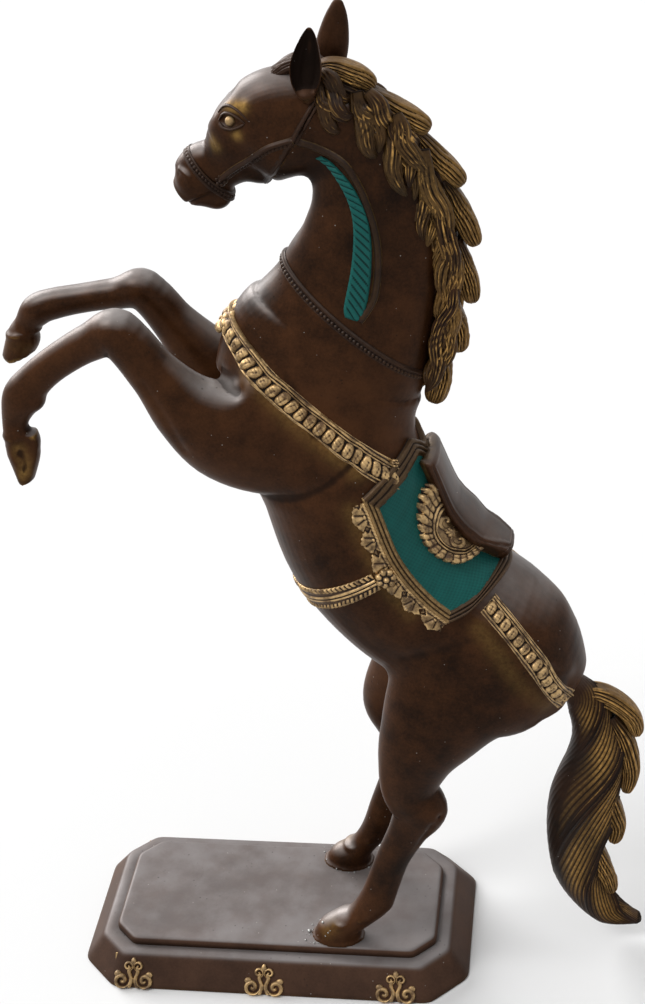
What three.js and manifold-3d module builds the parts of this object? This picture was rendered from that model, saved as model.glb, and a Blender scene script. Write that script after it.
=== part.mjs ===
// A rearing horse in cast brass, saddled and bridled, on a stepped base with cut corners.
// Millimetres, +Z up. The horse faces -X, and its left side is -Y.
// The origin is the centre of the base's underside.
import * as THREE from "three";
import { mergeVertices } from "three/addons/utils/BufferGeometryUtils.js";
import Module from "manifold-3d";

const wasm = await Module();
wasm.setup();

// Driving dimensions

const JOINT_GAP = 0.3; // brazing gap between neighbouring castings
const STRAP_GAP = 0.6; // solder bed under the straps and ornaments laid on the horse
const WALL = 4; // wall of the hollow castings
const DEG = Math.PI / 180;
const SIDES = { left: -1, right: 1 };

// Base: half sizes of the raised deck, its cut corners, the ledge round it and the flared skirt.
const DECK_X = 105;
const DECK_Y = 47;
const DECK_CUT = 14;
const DECK_HEIGHT = 4.8;
const LEDGE = 8;
const FLARE = 13.5;
const SKIRT_HEIGHT = 18.5;
const BASE_WALL = 4.5;
const RIB_HALF = 3;
const DECK_TOP = SKIRT_HEIGHT + DECK_HEIGHT;

// Hoof anchors: 8 mm threaded studs through the deck, with a washer and a nut in the hollow of the base.
const STUD_X = 46;
const STUD_Y = 36;
const STUD_RADIUS = 4;
const STUD_BOTTOM = 4.5;
const STUD_TOP = 35;
const WASHER_RADIUS = 8;
const WASHER_HEIGHT = 1.6;
const NUT_RADIUS = 7.5;
const NUT_HEIGHT = 6.5;

// Tack: places along the trunk and neck are counted in rows of the tables below, and angles
// in degrees round the trunk from the middle of the back, or round the neck from the throat.
const CLOTH = { front: 3, rear: 5.8, lean: 0.8, drop: 67.5, bed: 0.5, thickness: 3 };
const INLAY = { front: 3.22, rear: 5.56, top: 8, drop: 60, floor: 1.4, thickness: 1.1 };
const FRINGE = { front: 3.12, rear: 5.9, top: 68.2, drop: 76.5, scallop: 2.2, points: 9, thickness: 2.2 };
const SEAT = { front: 3.06, rear: 6.35, drop: 14.5, edge: 4.6 };
const SKIRT = { middle: 4.4, halfRows: 1.16, skew: 0.3, top: 16.2, drop: 46.5, thickness: 3.2 };
const GIRTH = { row: 4.2, halfRows: 0.16, top: 83, thickness: 2 };
const COLLAR = { width: 12.5, thickness: 3.4 };
const NECK_STRAP = { width: 5, thickness: 1.8 };
const BRIDLE = { width: 3.4, bed: 0.7, thickness: 2 };
const HIP_STRAP = { width: 13, thickness: 2.6 };
const ROSETTE = { row: 4.22, angle: 75, radius: 5, height: 5.2 };
const COLLAR_STUD = { row: 2.88, angle: 34, radius: 3 };
const EYE = { x: 16.5, y: 14.2, z: 562.5, radius: 4 };
// Height of the seat above the back: a raised pommel, a dished middle and a raised cantle.
const SEAT_PROFILE = [[9.5], [11.5], [9.5], [13], [14.3], [15.3], [13.5]];

// Scroll ornaments on the skirt of the base: two volutes, two small curls above them and a bud.
// Half of the outline, as the distance from the middle and the height along the skirt.
const SCROLL_THICKNESS = 2.2;
const SCROLL_PLACES = [-89, -3.5, 81];
const SCROLL_HALF = [
  [0, 0.8], [8.5, 1], [11, 3.2], [11.2, 6.6], [9, 9.4], [5.6, 9.8], [3.6, 8.4],
  [5.3, 11], [5.3, 13.6], [3.4, 15], [1.4, 14], [0, 19],
];

// Each row is one section of a casting: the centre x, y, z, the half depth seen from the side,
// the half width across the horse, and how much wider the section is on its upper side.
const TRUNK = [
  [14, 0, 419, 18, 16, 0],
  [31, 0, 403, 37, 32, 0],
  [46, 0, 379, 46, 41, 0],
  [59, 0, 352, 48, 44, -0.06],
  [72, 0, 311, 50, 46, -0.1],
  [91, 0, 281, 50, 45, -0.1],
  [114, 0, 260, 50, 44, -0.06],
  [141, 0, 244, 46, 44, 0],
  [165, 0, 226, 36, 37, 0],
  [183, 0, 208, 20, 22, 0],
];
const NECK = [
  [45, 0, 402, 55, 34, 0],
  [53, 0, 424, 56, 33, 0],
  [64, 0, 441, 51.5, 30, 0],
  [74, 0, 463, 45, 26, 0.06],
  [81, 0, 488, 39.5, 22.5, 0.1],
  [83.5, 0, 511, 34.5, 20, 0.1],
  [80.5, 0, 532, 29, 18, 0.06],
  [74, 0, 550, 22.5, 17, 0],
  [66, 0, 563, 17, 14, 0],
];
const HEAD = [
  [70, 0, 566, 15, 13, 0],
  [60, 0, 562, 23.5, 17.5, -0.05],
  [45, 0, 557, 29, 20, -0.05],
  [31, 0, 552, 28.5, 19.5, -0.1],
  [21, 0, 547.5, 24, 17.5, -0.2],
  [14, 0, 541, 17.5, 14.5, -0.2],
  [7, 0, 535.5, 14, 12, -0.1],
  [-1, 0, 531, 15.5, 11.5, 0],
  [-8, 0, 524, 14, 11.5, 0],
  [-13.5, 0, 520, 9, 9, 0],
];
const FORELEG_LEFT = [
  [38, -18, 398, 40, 20, 0],
  [20, -23, 392, 41, 21, 0],
  [0, -27, 394.5, 32.5, 19, 0],
  [-18, -29, 407, 22, 16, 0],
  [-34, -30, 428, 14.5, 12.5, 0],
  [-51, -30, 451, 13, 12, 0],
  [-67, -30, 447, 10.5, 9.5, 0],
  [-86, -30, 436, 9.6, 8.5, 0],
  [-100, -30, 425, 9.8, 8.5, 0],
  [-110, -30, 413, 10.8, 9.5, 0],
  [-116, -30, 398, 7.2, 7.2, 0],
  [-115, -30, 385, 8.6, 9.5, 0],
  [-114, -30, 378, 9.2, 10, 0],
  [-115, -30, 362, 4.5, 8.5, 0],
];
const FORELEG_RIGHT = [
  [36, 18, 392, 38, 20, 0],
  [16, 23, 388, 32, 20, 0],
  [-4, 27, 390, 24, 18, 0],
  [-20, 29, 409, 19, 15, 0],
  [-35, 30, 429, 13, 12, 0],
  [-50, 30, 448, 11.5, 11.5, 0],
  [-68, 30, 447, 8.8, 9, 0],
  [-88, 30, 444, 8.4, 8.4, 0],
  [-103, 30, 441, 9, 8.4, 0],
  [-114, 30, 437, 9, 9.2, 0],
  [-121, 30, 428, 7.4, 7.4, 0],
  [-125, 30, 421, 8.6, 9.4, 0],
  [-129, 30, 407, 9.8, 10.5, 0],
];
const HIND_LEG_LEFT = [
  [150, -22, 252, 40, 18, 0],
  [139, -25, 232, 47, 21, 0],
  [119.5, -29, 214, 40.5, 22, 0],
  [102.5, -33, 186, 28, 19, 0],
  [95, -35, 166, 21, 15.5, 0],
  [93, -36, 150, 17.5, 13, 0],
  [98, -36, 134, 17.3, 12, 0],
  [91, -36, 117, 12.3, 10, 0],
  [81, -36, 95, 10.4, 8.8, 0],
  [74, -36, 74, 10.4, 8.8, 0],
  [68, -36, 57, 10.6, 9.8, 0],
  [57, -36, 43, 8.8, 8.8, 0],
  [48, -36, 36, 10.5, 11.5, 0],
  [43, -36, 27, 15.5, 14, 0],
  [40, -36, 17, 17, 15, 0],
];
const HIND_LEG_RIGHT = [
  [146, 22, 248, 40, 18, 0],
  [126, 25, 228, 42, 21, 0],
  [108, 29, 206, 35, 22, 0],
  [90, 33, 181, 29, 19, 0],
  [81, 35, 162, 24, 15.5, 0],
  [82, 36, 147, 19.5, 13, 0],
  [89, 36, 133, 16.5, 12, 0],
  [84, 36, 116, 12.3, 10, 0],
  [75, 36, 94, 10.4, 8.8, 0],
  [68, 36, 73, 10.4, 8.8, 0],
  [63, 36, 57, 10.6, 9.8, 0],
  [54, 36, 44, 8.8, 8.8, 0],
  [47, 36, 37, 10.5, 11.5, 0],
  [42, 36, 27, 15.5, 14, 0],
  [39, 36, 17, 17, 15, 0],
];
const TAIL = [
  [176, 0, 208, 9, 9, 0],
  [190, 0, 204, 9.5, 9.5, 0],
  [199, 0, 192, 11, 11, 0],
  [204, 0, 171, 13.5, 13, 0],
  [205.5, 0, 147, 18, 15, 0],
  [200, 0, 115, 24, 17, 0],
  [197, 0, 82, 22, 16, 0],
  [200, 0, 51, 16.5, 13, 0],
  [214, 0, 25, 9.5, 9, 0],
  [231, 0, 18, 4, 5, 0],
];

const EARS = {
  left: [
    [56, -13, 568, 5, 4, 0],
    [55, -15, 580, 9, 5.5, 0],
    [57, -17.5, 592, 8, 5, 0],
    [59, -19.5, 602, 5, 3.6, 0],
    [60, -20.5, 610, 1.5, 1.3, 0],
  ],
  right: [
    [64, 13, 570, 5, 4, 0],
    [63, 14, 582, 8.5, 5.5, 0],
    [65.5, 17, 594, 7.5, 5, 0],
    [67.5, 19, 603, 5, 3.6, 0],
    [69, 20, 611, 1.5, 1.3, 0],
  ],
};
const FORELOCK = [
  [60, 0, 583, 6, 9, 0],
  [50, 0, 584, 6, 9, 0],
  [40, 0, 583, 5.5, 7.5, 0],
  [31, 0, 578, 3, 5, 0],
];
const MANE_RIDGE = [
  [68, 0, 582, 8, 10, 0],
  [90, 0, 565, 9, 10, 0],
  [107, 0, 540, 9, 10, 0],
  [116, 0, 505, 9, 10, 0],
  [116, 0, 465, 9, 11, 0],
  [110, 0, 430, 9, 11, 0],
  [103, 0, 402, 8, 9, 0],
];
// Tufts of the mane and the tail in the middle plane: root, bend and tip, each as x and z.
const MANE_TUFTS = [
  [[72, 580], [81, 577], [88, 572]],
  [[86, 567], [101, 561], [113, 554]],
  [[100, 549], [116, 539], [130, 523]],
  [[111, 528], [125, 510], [137, 491]],
  [[116, 500], [128, 478], [135, 458]],
  [[114, 468], [124, 446], [128, 430]],
  [[109, 440], [116, 418], [117, 399]],
];
const TAIL_TUFTS = [
  [[194, 198], [217, 190], [230, 174]],
  [[208, 176], [222, 152], [228, 133]],
  [[208, 132], [218, 108], [222, 92]],
  [[203, 84], [213, 62], [217, 46]],
];
const SIDE_LOCKS = 4;

// Straps seen from the side, each as x and z.
const HIP_STRAP_PATH = [[136, 291], [154, 269], [171, 243], [184, 215]];
const CHEEK_PATH = [[8, 529.5], [16, 536], [25, 542], [36, 550], [45, 553.5]];
// Straps that run round the neck or head in a tilted plane: a middle and the way to the front or top.
const COLLAR_PLANE = { middle: [52, 0, 402], toward: [-0.727, 0, 0.687] };
const NECK_STRAP_PLANE = { middle: [72, 0, 450], toward: [-0.738, 0, 0.675] };
const HEADSTALL_PLANE = { middle: [49, 0, 554], toward: [0.55, 0, 0.835], reach: 50 };
const NOSEBAND_PLANE = { middle: [0, 0, 530.5], toward: [-0.64, 0, 0.77], reach: 28 };
// The inlaid plume on the neck: row, middle angle and half angle.
const PLUME = [
  [2.95, 93, 6],
  [3.2, 92, 11.5],
  [4.2, 87, 11],
  [5.0, 81, 9.5],
  [5.6, 73, 8],
  [6.2, 61, 7],
  [6.85, 47, 5],
];

// Geometry helpers

// Value at the fraction t between b and c on a smooth curve through a, b, c and d.
function catmullRom(a, b, c, d, t) {
  const slopeB = (c - a) / 2;
  const slopeC = (d - b) / 2;
  const cubic = 2 * b - 2 * c + slopeB + slopeC;
  const square = -3 * b + 3 * c - 2 * slopeB - slopeC;
  return ((cubic * t + square) * t + slopeB) * t + b;
}

// The section at t, from 0 at the first row to 1 at the last, smoothed through all the rows.
function sectionAt(rows, t) {
  const last = rows.length - 1;
  const span = Math.min(Math.floor(t * last), last - 1);
  const row = (i) => rows[Math.min(Math.max(i, 0), last)];
  const f = t * last - span;
  return rows[0].map((_, k) =>
    catmullRom(row(span - 1)[k], row(span)[k], row(span + 1)[k], row(span + 2)[k], f),
  );
}

// The centre, tangent, upward and sideways directions of a casting at t.
function frameAt(rows, t) {
  const step = 0.002;
  const before = sectionAt(rows, Math.max(t - step, 0));
  const after = sectionAt(rows, Math.min(t + step, 1));
  const tangent = new THREE.Vector3(after[0] - before[0], after[1] - before[1], after[2] - before[2]);
  tangent.normalize();
  const side = new THREE.Vector3(0, 1, 0).addScaledVector(tangent, -tangent.y).normalize();
  const up = new THREE.Vector3().crossVectors(tangent, side);
  const [x, y, z, depth, width, lean] = sectionAt(rows, t);
  return { centre: new THREE.Vector3(x, y, z), tangent, side, up, depth, width, lean };
}

// A closed solid from rings of equally many points: a loop, or open and capped straight across.
function ringSolid(rings, loop = false) {
  const sides = rings[0].length;
  const index = [];
  for (let r = 0; r < rings.length - (loop ? 0 : 1); r++) {
    const next = ((r + 1) % rings.length) * sides;
    for (let k = 0; k < sides; k++) {
      const other = (k + 1) % sides;
      const a = r * sides + k;
      const b = r * sides + other;
      index.push(a, b, next + other, a, next + other, next + k);
    }
  }
  const far = (rings.length - 1) * sides;
  for (let k = 0; !loop && k + 1 < sides / 2; k++) {
    const [a, b, c, d] = [k, k + 1, sides - 2 - k, sides - 1 - k];
    index.push(a, c, b, a, d, c, far + a, far + b, far + c, far + a, far + c, far + d);
  }
  const points = rings.flat().flatMap((point) => point.toArray());
  return solidFrom(new Float32Array(points), new Uint32Array(index));
}

// A solid of the joining and cutting library, turned the right way out.
function solidFrom(vertProperties, triVerts) {
  const made = new wasm.Manifold(new wasm.Mesh({ numProp: 3, vertProperties, triVerts }));
  if (made.volume() > 0) return made;
  for (let i = 0; i < triVerts.length; i += 3) {
    [triVerts[i + 1], triVerts[i + 2]] = [triVerts[i + 2], triVerts[i + 1]];
  }
  return new wasm.Manifold(new wasm.Mesh({ numProp: 3, vertProperties, triVerts }));
}

// A solid from a three.js geometry.
function solidOf(geometry) {
  const bare = geometry.index ? geometry.toNonIndexed() : geometry.clone();
  bare.deleteAttribute("normal");
  bare.deleteAttribute("uv");
  const merged = mergeVertices(bare, 1e-3);
  return solidFrom(merged.attributes.position.array, new Uint32Array(merged.index.array));
}

// A three.js geometry from a solid.
function geometryOf(solid) {
  const mesh = solid.getMesh();
  const position = new Float32Array(mesh.numVert * 3);
  for (let i = 0; i < mesh.numVert; i++) {
    position.set(mesh.vertProperties.subarray(i * mesh.numProp, i * mesh.numProp + 3), i * 3);
  }
  return new THREE.BufferGeometry()
    .setAttribute("position", new THREE.BufferAttribute(position, 3))
    .setIndex(new THREE.BufferAttribute(new Uint32Array(mesh.triVerts), 1));
}

// A casting that follows its rows, grown all over by the given amount.
function casting(rows, { sides, stepsPerRow, grow = 0 }) {
  const steps = (rows.length - 1) * stepsPerRow;
  const rings = [];
  for (let i = 0; i <= steps; i++) {
    const { centre, tangent, side, up, depth, width, lean } = frameAt(rows, i / steps);
    const ends = i === 0 ? -grow : i === steps ? grow : 0;
    const ring = [];
    for (let k = 0; k < sides; k++) {
      const angle = (2 * Math.PI * k) / sides;
      const across = (width + grow) * (1 + lean * Math.cos(angle)) * Math.sin(angle);
      ring.push(
        centre
          .clone()
          .addScaledVector(tangent, ends)
          .addScaledVector(up, (depth + grow) * Math.cos(angle))
          .addScaledVector(side, across),
      );
    }
    rings.push(ring);
  }
  return ringSolid(rings);
}

// A solid cylinder along Z.
function rod(radius, bottom, top, x, y, sides = 14) {
  const shape = new THREE.CylinderGeometry(radius, radius, top - bottom, sides);
  return solidOf(shape.rotateX(Math.PI / 2).translate(x, y, (top + bottom) / 2));
}

// A solid box between two corners.
function block(low, high) {
  const size = high.map((value, k) => value - low[k]);
  const middle = high.map((value, k) => (value + low[k]) / 2);
  return solidOf(new THREE.BoxGeometry(...size).translate(...middle));
}

// A ball, stretched by its three radii.
function ball(x, y, z, radii, sides = 16) {
  return solidOf(new THREE.SphereGeometry(1, sides, sides / 2).scale(...radii).translate(x, y, z));
}

// All the given solids as one.
function joined(solids) {
  return solids.reduce((all, solid) => all.add(solid));
}

// A solid with all the cutters taken out of it.
function cutBy(solid, cutters) {
  return cutters.reduce((left, cutter) => left.subtract(cutter), solid);
}

// The largest single body of a solid, without the crumbs that a cut can leave.
function mainBody(solid) {
  return solid.decompose().sort((a, b) => b.volume() - a.volume())[0];
}

// Finishes

const PATINA = { color: 0x4b3528, roughness: 0.42, metalness: 0.75 };
const BASE_PATINA = { color: 0x544840, roughness: 0.5, metalness: 0.6 };
const GILT = { color: 0x9a7a43, roughness: 0.4, metalness: 0.85 };
const HAIR = { color: 0x6f5533, roughness: 0.42, metalness: 0.8 };
const TEAL = { color: 0x1f574f, roughness: 0.5, metalness: 0.1 };
const STEEL = { color: 0x8c8c8a, roughness: 0.4, metalness: 0.9 };

const horse = new THREE.Group();
const body = new THREE.Group();
const tack = new THREE.Group();
const base = new THREE.Group();
horse.add(body, tack, base);

// Adds one named piece to a group and returns its mesh.
function addPart(group, name, solid, finish) {
  const mesh = new THREE.Mesh(geometryOf(mainBody(solid)), new THREE.MeshStandardMaterial(finish));
  mesh.name = name;
  group.add(mesh);
  return mesh;
}

// The castings of the horse

const BODY_MESH = { sides: 32, stepsPerRow: 2 };
const NECK_MESH = { sides: 22, stepsPerRow: 2 };
const HEAD_MESH = { sides: 18, stepsPerRow: 2 };
const LEG_MESH = { sides: 10, stepsPerRow: 2 };
const LOCK_MESH = { sides: 6, stepsPerRow: 1 };

// The whole castings, before they are cut to each other, grown by the given amount.
function fleshSolids(grow) {
  const chin = ball(3, 0, 519, [8.5 + grow, 8 + grow, 9 + grow], 10);
  return {
    trunk: casting(TRUNK, { ...BODY_MESH, grow }),
    neck: casting(NECK, { ...NECK_MESH, grow }),
    head: casting(HEAD, { ...HEAD_MESH, grow }).add(chin),
    foreleg_left: casting(FORELEG_LEFT, { ...LEG_MESH, grow }),
    foreleg_right: casting(FORELEG_RIGHT, { ...LEG_MESH, grow }),
    hind_leg_left: casting(HIND_LEG_LEFT, { ...LEG_MESH, grow }),
    hind_leg_right: casting(HIND_LEG_RIGHT, { ...LEG_MESH, grow }),
  };
}

const flesh = fleshSolids(0);
const grown = fleshSolids(JOINT_GAP);
const grownFlesh = joined(Object.values(grown));
const underDeck = block([-200, -200, -60], [300, 200, DECK_TOP + JOINT_GAP]);
const eyeBalls = (extra) =>
  Object.values(SIDES).map((side) =>
    ball(EYE.x, side * EYE.y, EYE.z, Array(3).fill(EYE.radius + extra), 10),
  );
const eyeSockets = joined(eyeBalls(JOINT_GAP));
const studHoles = joined(
  Object.values(SIDES).map((side) =>
    rod(STUD_RADIUS + JOINT_GAP, 1, STUD_TOP + JOINT_GAP, STUD_X, side * STUD_Y),
  ),
);

// The trunk and the neck are hollow, and the neck's hollow opens into the trunk.
const neckPort = casting(
  [
    [58, 0, 396, 20, 16, 0],
    [60, 0, 420, 20, 16, 0],
    [64, 0, 470, 20, 14, 0],
  ],
  { sides: 12, stepsPerRow: 1 },
);
const hollows = {
  trunk: casting(TRUNK, { sides: 12, stepsPerRow: 1, grow: -WALL }).add(neckPort),
  neck: casting(NECK, { sides: 12, stepsPerRow: 1, grow: -WALL }),
};

// Each casting is cut to the ones before it, with the brazing gap between them.
const castingNames = Object.keys(flesh);
castingNames.forEach((name, i) => {
  const cutters = castingNames.slice(0, i).map((earlier) => grown[earlier]);
  if (hollows[name]) cutters.push(hollows[name]);
  if (name === "head") cutters.push(eyeSockets);
  if (name.startsWith("hind_leg")) cutters.push(underDeck, studHoles);
  addPart(body, name, cutBy(flesh[name], cutters), PATINA);
});
Object.keys(SIDES).forEach((name, i) => {
  addPart(body, `eye_${name}`, eyeBalls(0)[i], GILT);
});

// Laying things on the horse

const skin = new THREE.Mesh(
  geometryOf(joined(Object.values(flesh))),
  new THREE.MeshBasicMaterial({ side: THREE.DoubleSide }),
);
const caster = new THREE.Raycaster();

// The point of the horse's surface farthest along a ray, and the ray's direction.
function onSkin(origin, direction, reach = 85) {
  const out = direction.clone().normalize();
  caster.set(origin, out);
  caster.far = reach;
  const hits = caster.intersectObject(skin);
  return { point: hits[hits.length - 1].point, out };
}

// The surface at a row and an angle round the trunk or the neck, positive angles to the right.
function onSection(rows, row, angle) {
  const { centre, up, side } = frameAt(rows, row / (rows.length - 1));
  const out = up.clone().multiplyScalar(Math.cos(angle * DEG));
  return onSkin(centre, out.addScaledVector(side, Math.sin(angle * DEG)));
}

// The surface along a plane round the horse, u from 0 to 1 over the given span of degrees.
function roundPlane({ middle, toward, reach }, width, span) {
  const front = new THREE.Vector3(...toward).normalize();
  const side = new THREE.Vector3(0, 1, 0);
  const across = new THREE.Vector3().crossVectors(front, side);
  return (u, v) => {
    const angle = (u - 0.5) * span * DEG;
    const origin = new THREE.Vector3(...middle).addScaledVector(across, (v - 0.5) * width);
    const out = front.clone().multiplyScalar(Math.cos(angle));
    return onSkin(origin, out.addScaledVector(side, Math.sin(angle)), reach);
  };
}

// The surface along a path seen from one side.
function besidePath(path, width, side) {
  return (u, v) => {
    const [x, z] = sectionAt(path, u);
    const before = sectionAt(path, Math.max(u - 0.01, 0));
    const after = sectionAt(path, Math.min(u + 0.01, 1));
    const length = Math.hypot(after[0] - before[0], after[1] - before[1]);
    const shift = ((v - 0.5) * width) / length;
    const dx = (before[1] - after[1]) * shift;
    const dz = (after[0] - before[0]) * shift;
    return onSkin(new THREE.Vector3(x + dx, 0, z + dz), new THREE.Vector3(0, side, 0));
  };
}

// A plate over the surface points at(u, v), u along it and v across it, both from 0 to 1.
// Its heights above the surface are numbers or depend on u and v.
function plate(at, { along, across = 2, low = STRAP_GAP, high, loop = false }) {
  const value = (height, u, v) => (typeof height === "function" ? height(u, v) : height);
  const rows = loop ? along : along + 1;
  const spots = [];
  for (let i = 0; i < rows; i++) {
    spots.push(Array.from({ length: across + 1 }, (_, j) => at(i / along, j / across)));
  }
  const last = (i) => (loop ? (i + rows) % rows : Math.min(Math.max(i, 0), rows - 1));
  const rings = spots.map((spotRow, i) => {
    const top = [];
    const bottom = [];
    spotRow.forEach(({ point, out }, j) => {
      const ahead = spots[last(i + 1)][j].point.clone().sub(spots[last(i - 1)][j].point);
      const aside = spotRow[Math.min(j + 1, across)].point.clone().sub(spotRow[Math.max(j - 1, 0)].point);
      const normal = ahead.cross(aside).normalize();
      if (normal.dot(out) < 0) normal.negate();
      top.push(point.clone().addScaledVector(normal, value(high, i / along, j / across)));
      bottom.push(point.clone().addScaledVector(normal, value(low, i / along, j / across)));
    });
    return [...top, ...bottom.reverse()];
  });
  return ringSolid(rings, loop);
}

const mix = (a, b, t) => a + (b - a) * t;

// A patch of the trunk between two rows and two angles.
function trunkPatch(front, rear, fromAngle, toAngle) {
  return (u, v) => onSection(TRUNK, mix(front, rear, u), mix(fromAngle, toAngle, v));
}

// A patch of the trunk whose rear edge leans back towards the middle of the back, as the cloth's does.
function leaningPatch(front, rear, fromAngle, toAngle) {
  return (u, v) => {
    const angle = mix(fromAngle, toAngle, v);
    const down = Math.min(Math.abs(angle) / CLOTH.drop, 1);
    return onSection(TRUNK, mix(front, rear + CLOTH.lean * (1 - down ** 1.6), u), angle);
  };
}

// Saddle cloth with its inlaid panels and fringes

const clothAt = leaningPatch(CLOTH.front, CLOTH.rear, -CLOTH.drop, CLOTH.drop);
const clothMesh = { along: 6, across: 12 };
const clothTop = plate(clothAt, { ...clothMesh, low: -6, high: CLOTH.thickness + JOINT_GAP });
const clothSpace = plate(leaningPatch(CLOTH.front - 0.03, CLOTH.rear + 0.04, -76, 76), {
  ...clothMesh,
  low: -12,
  high: 30,
});
const pockets = [];
const inlays = {};
Object.entries(SIDES).forEach(([name, side]) => {
  const { front, rear, top, drop, floor, thickness } = INLAY;
  const panelMesh = { along: 8, across: 4 };
  const panel = leaningPatch(front, rear, side * top, side * drop);
  const pocket = leaningPatch(front - 0.03, rear + 0.03, side * (top - 1), side * (drop + 1));
  const low = floor + JOINT_GAP;
  inlays[name] = plate(panel, { ...panelMesh, low, high: low + thickness });
  pockets.push(plate(pocket, { ...panelMesh, low: floor, high: 12 }));
});
const clothPlate = plate(clothAt, { ...clothMesh, low: CLOTH.bed, high: CLOTH.thickness });
addPart(tack, "saddle_cloth", cutBy(clothPlate, pockets), GILT);

const rosettes = {};
Object.entries(SIDES).forEach(([name, side]) => {
  const { point, out } = onSection(TRUNK, ROSETTE.row, side * ROSETTE.angle);
  const turn = new THREE.Quaternion().setFromUnitVectors(new THREE.Vector3(0, 1, 0), out);
  const { radius, height } = ROSETTE;
  const place = (extra) =>
    solidOf(
      new THREE.CylinderGeometry(radius * 0.6 + extra, radius + extra, height + 4, 16)
        .translate(0, (height - 4) / 2, 0)
        .applyQuaternion(turn)
        .translate(...point.toArray()),
    );
  rosettes[name] = { solid: place(0), space: place(JOINT_GAP) };
});

Object.entries(SIDES).forEach(([name, side]) => {
  addPart(tack, `cloth_inlay_${name}`, inlays[name], TEAL);
  const { front, rear, top, drop, scallop, points, thickness } = FRINGE;
  const edge = (u) => drop + scallop * Math.abs(Math.sin(points * Math.PI * u));
  const fringeAt = (u, v) => onSection(TRUNK, mix(front, rear, u), side * mix(top, edge(u), v));
  const fringe = plate(fringeAt, { along: points * 2, across: 1, high: thickness });
  addPart(tack, `cloth_fringe_${name}`, fringe.subtract(rosettes[name].space), GILT);
  addPart(tack, `girth_rosette_${name}`, cutBy(rosettes[name].solid, [grownFlesh, clothTop]), GILT);
});

// Saddle: the dished seat and the fan-shaped skirts below it

const seatHeight = (u, v) => {
  const crown = 1 - (2 * v - 1) ** 4;
  return mix(SEAT.edge, sectionAt(SEAT_PROFILE, u)[0], crown);
};
const seatAt = trunkPatch(SEAT.front, SEAT.rear, -SEAT.drop, SEAT.drop);
const seatLow = CLOTH.thickness + STRAP_GAP;
const seat = plate(seatAt, { along: 12, across: 6, low: seatLow, high: seatHeight });
addPart(tack, "saddle_seat", seat, PATINA);
Object.entries(SIDES).forEach(([name, side]) => {
  const { middle, halfRows, skew, top, drop, thickness } = SKIRT;
  const skirtAt = (u, v) => {
    const reach = mix(0.12, 1, v);
    const bow = reach * Math.sin(Math.PI * u);
    const row = middle - halfRows * reach * Math.cos(Math.PI * u) - skew * bow;
    return onSection(TRUNK, row, side * (top + (drop - top) * bow));
  };
  const high = CLOTH.thickness + thickness;
  const skirt = plate(skirtAt, { along: 16, across: 3, low: seatLow, high });
  addPart(tack, `saddle_skirt_${name}`, skirt, GILT);
});

// Straps of the body

const neckStrapAt = (extra) => roundPlane(NECK_STRAP_PLANE, NECK_STRAP.width + extra, 360);
const neckStrapMesh = { along: 36, across: 1, loop: true };
const neckStrap = plate(neckStrapAt(0), { ...neckStrapMesh, high: NECK_STRAP.thickness });
const neckStrapTop = NECK_STRAP.thickness + 0.4;
const neckStrapSpace = plate(neckStrapAt(0.8), { ...neckStrapMesh, low: -2, high: neckStrapTop });
addPart(tack, "neck_strap", neckStrap, PATINA);

const collarStuds = {};
const studSpaces = [];
Object.entries(SIDES).forEach(([name, side]) => {
  const { point } = onSection(TRUNK, COLLAR_STUD.row, side * COLLAR_STUD.angle);
  const radii = (extra) => Array(3).fill(COLLAR_STUD.radius + extra);
  collarStuds[name] = ball(...point.toArray(), radii(0), 12);
  studSpaces.push(ball(...point.toArray(), radii(JOINT_GAP), 12));
});
const collarAt = roundPlane(COLLAR_PLANE, COLLAR.width, 322);
const collar = plate(collarAt, { along: 36, low: 0.8, high: COLLAR.thickness });
const collarCutters = [grown.foreleg_left, grown.foreleg_right, clothSpace, ...studSpaces];
addPart(tack, "breast_collar", cutBy(collar, collarCutters), GILT);

const girthAt = (u, v) =>
  onSection(TRUNK, GIRTH.row + GIRTH.halfRows * (2 * v - 1), mix(GIRTH.top, 360 - GIRTH.top, u));
const girth = plate(girthAt, { along: 24, across: 1, high: GIRTH.thickness });
addPart(tack, "girth", cutBy(girth, Object.values(rosettes).map(({ space }) => space)), GILT);

Object.entries(SIDES).forEach(([name, side]) => {
  addPart(tack, `collar_stud_${name}`, cutBy(collarStuds[name], [grownFlesh, clothSpace]), GILT);
  const strapAt = besidePath(HIP_STRAP_PATH, HIP_STRAP.width, side);
  const strap = plate(strapAt, { along: 18, high: HIP_STRAP.thickness });
  addPart(tack, `hip_strap_${name}`, cutBy(strap, [grown[`hind_leg_${name}`], clothSpace]), GILT);
});

// Bridle

const headstallAt = (extra) => roundPlane(HEADSTALL_PLANE, BRIDLE.width + extra, 360);
const headstallMesh = { along: 30, across: 1, loop: true };
const headstall = plate(headstallAt(0), { ...headstallMesh, low: BRIDLE.bed, high: BRIDLE.thickness });
const headstallSpace = plate(headstallAt(0.8), { ...headstallMesh, low: -2, high: BRIDLE.thickness + 0.4 });
addPart(tack, "headstall", headstall.subtract(grown.head), PATINA);
const nosebandAt = (extra) => roundPlane(NOSEBAND_PLANE, BRIDLE.width + extra, 360);
const nosebandMesh = { ...headstallMesh, along: 24 };
const noseband = plate(nosebandAt(0), { ...nosebandMesh, low: BRIDLE.bed, high: BRIDLE.thickness });
const nosebandSpace = plate(nosebandAt(0.8), { ...nosebandMesh, low: -2, high: 12 });
addPart(tack, "noseband", noseband.subtract(grown.head), PATINA);
Object.entries(SIDES).forEach(([name, side]) => {
  const strapAt = besidePath(CHEEK_PATH, BRIDLE.width, side);
  const strap = plate(strapAt, { along: 12, across: 1, high: BRIDLE.thickness });
  addPart(tack, `cheek_strap_${name}`, cutBy(strap, [headstallSpace, nosebandSpace]), PATINA);
});

// Inlaid plumes on the neck, each with a raised rim behind it

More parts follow.
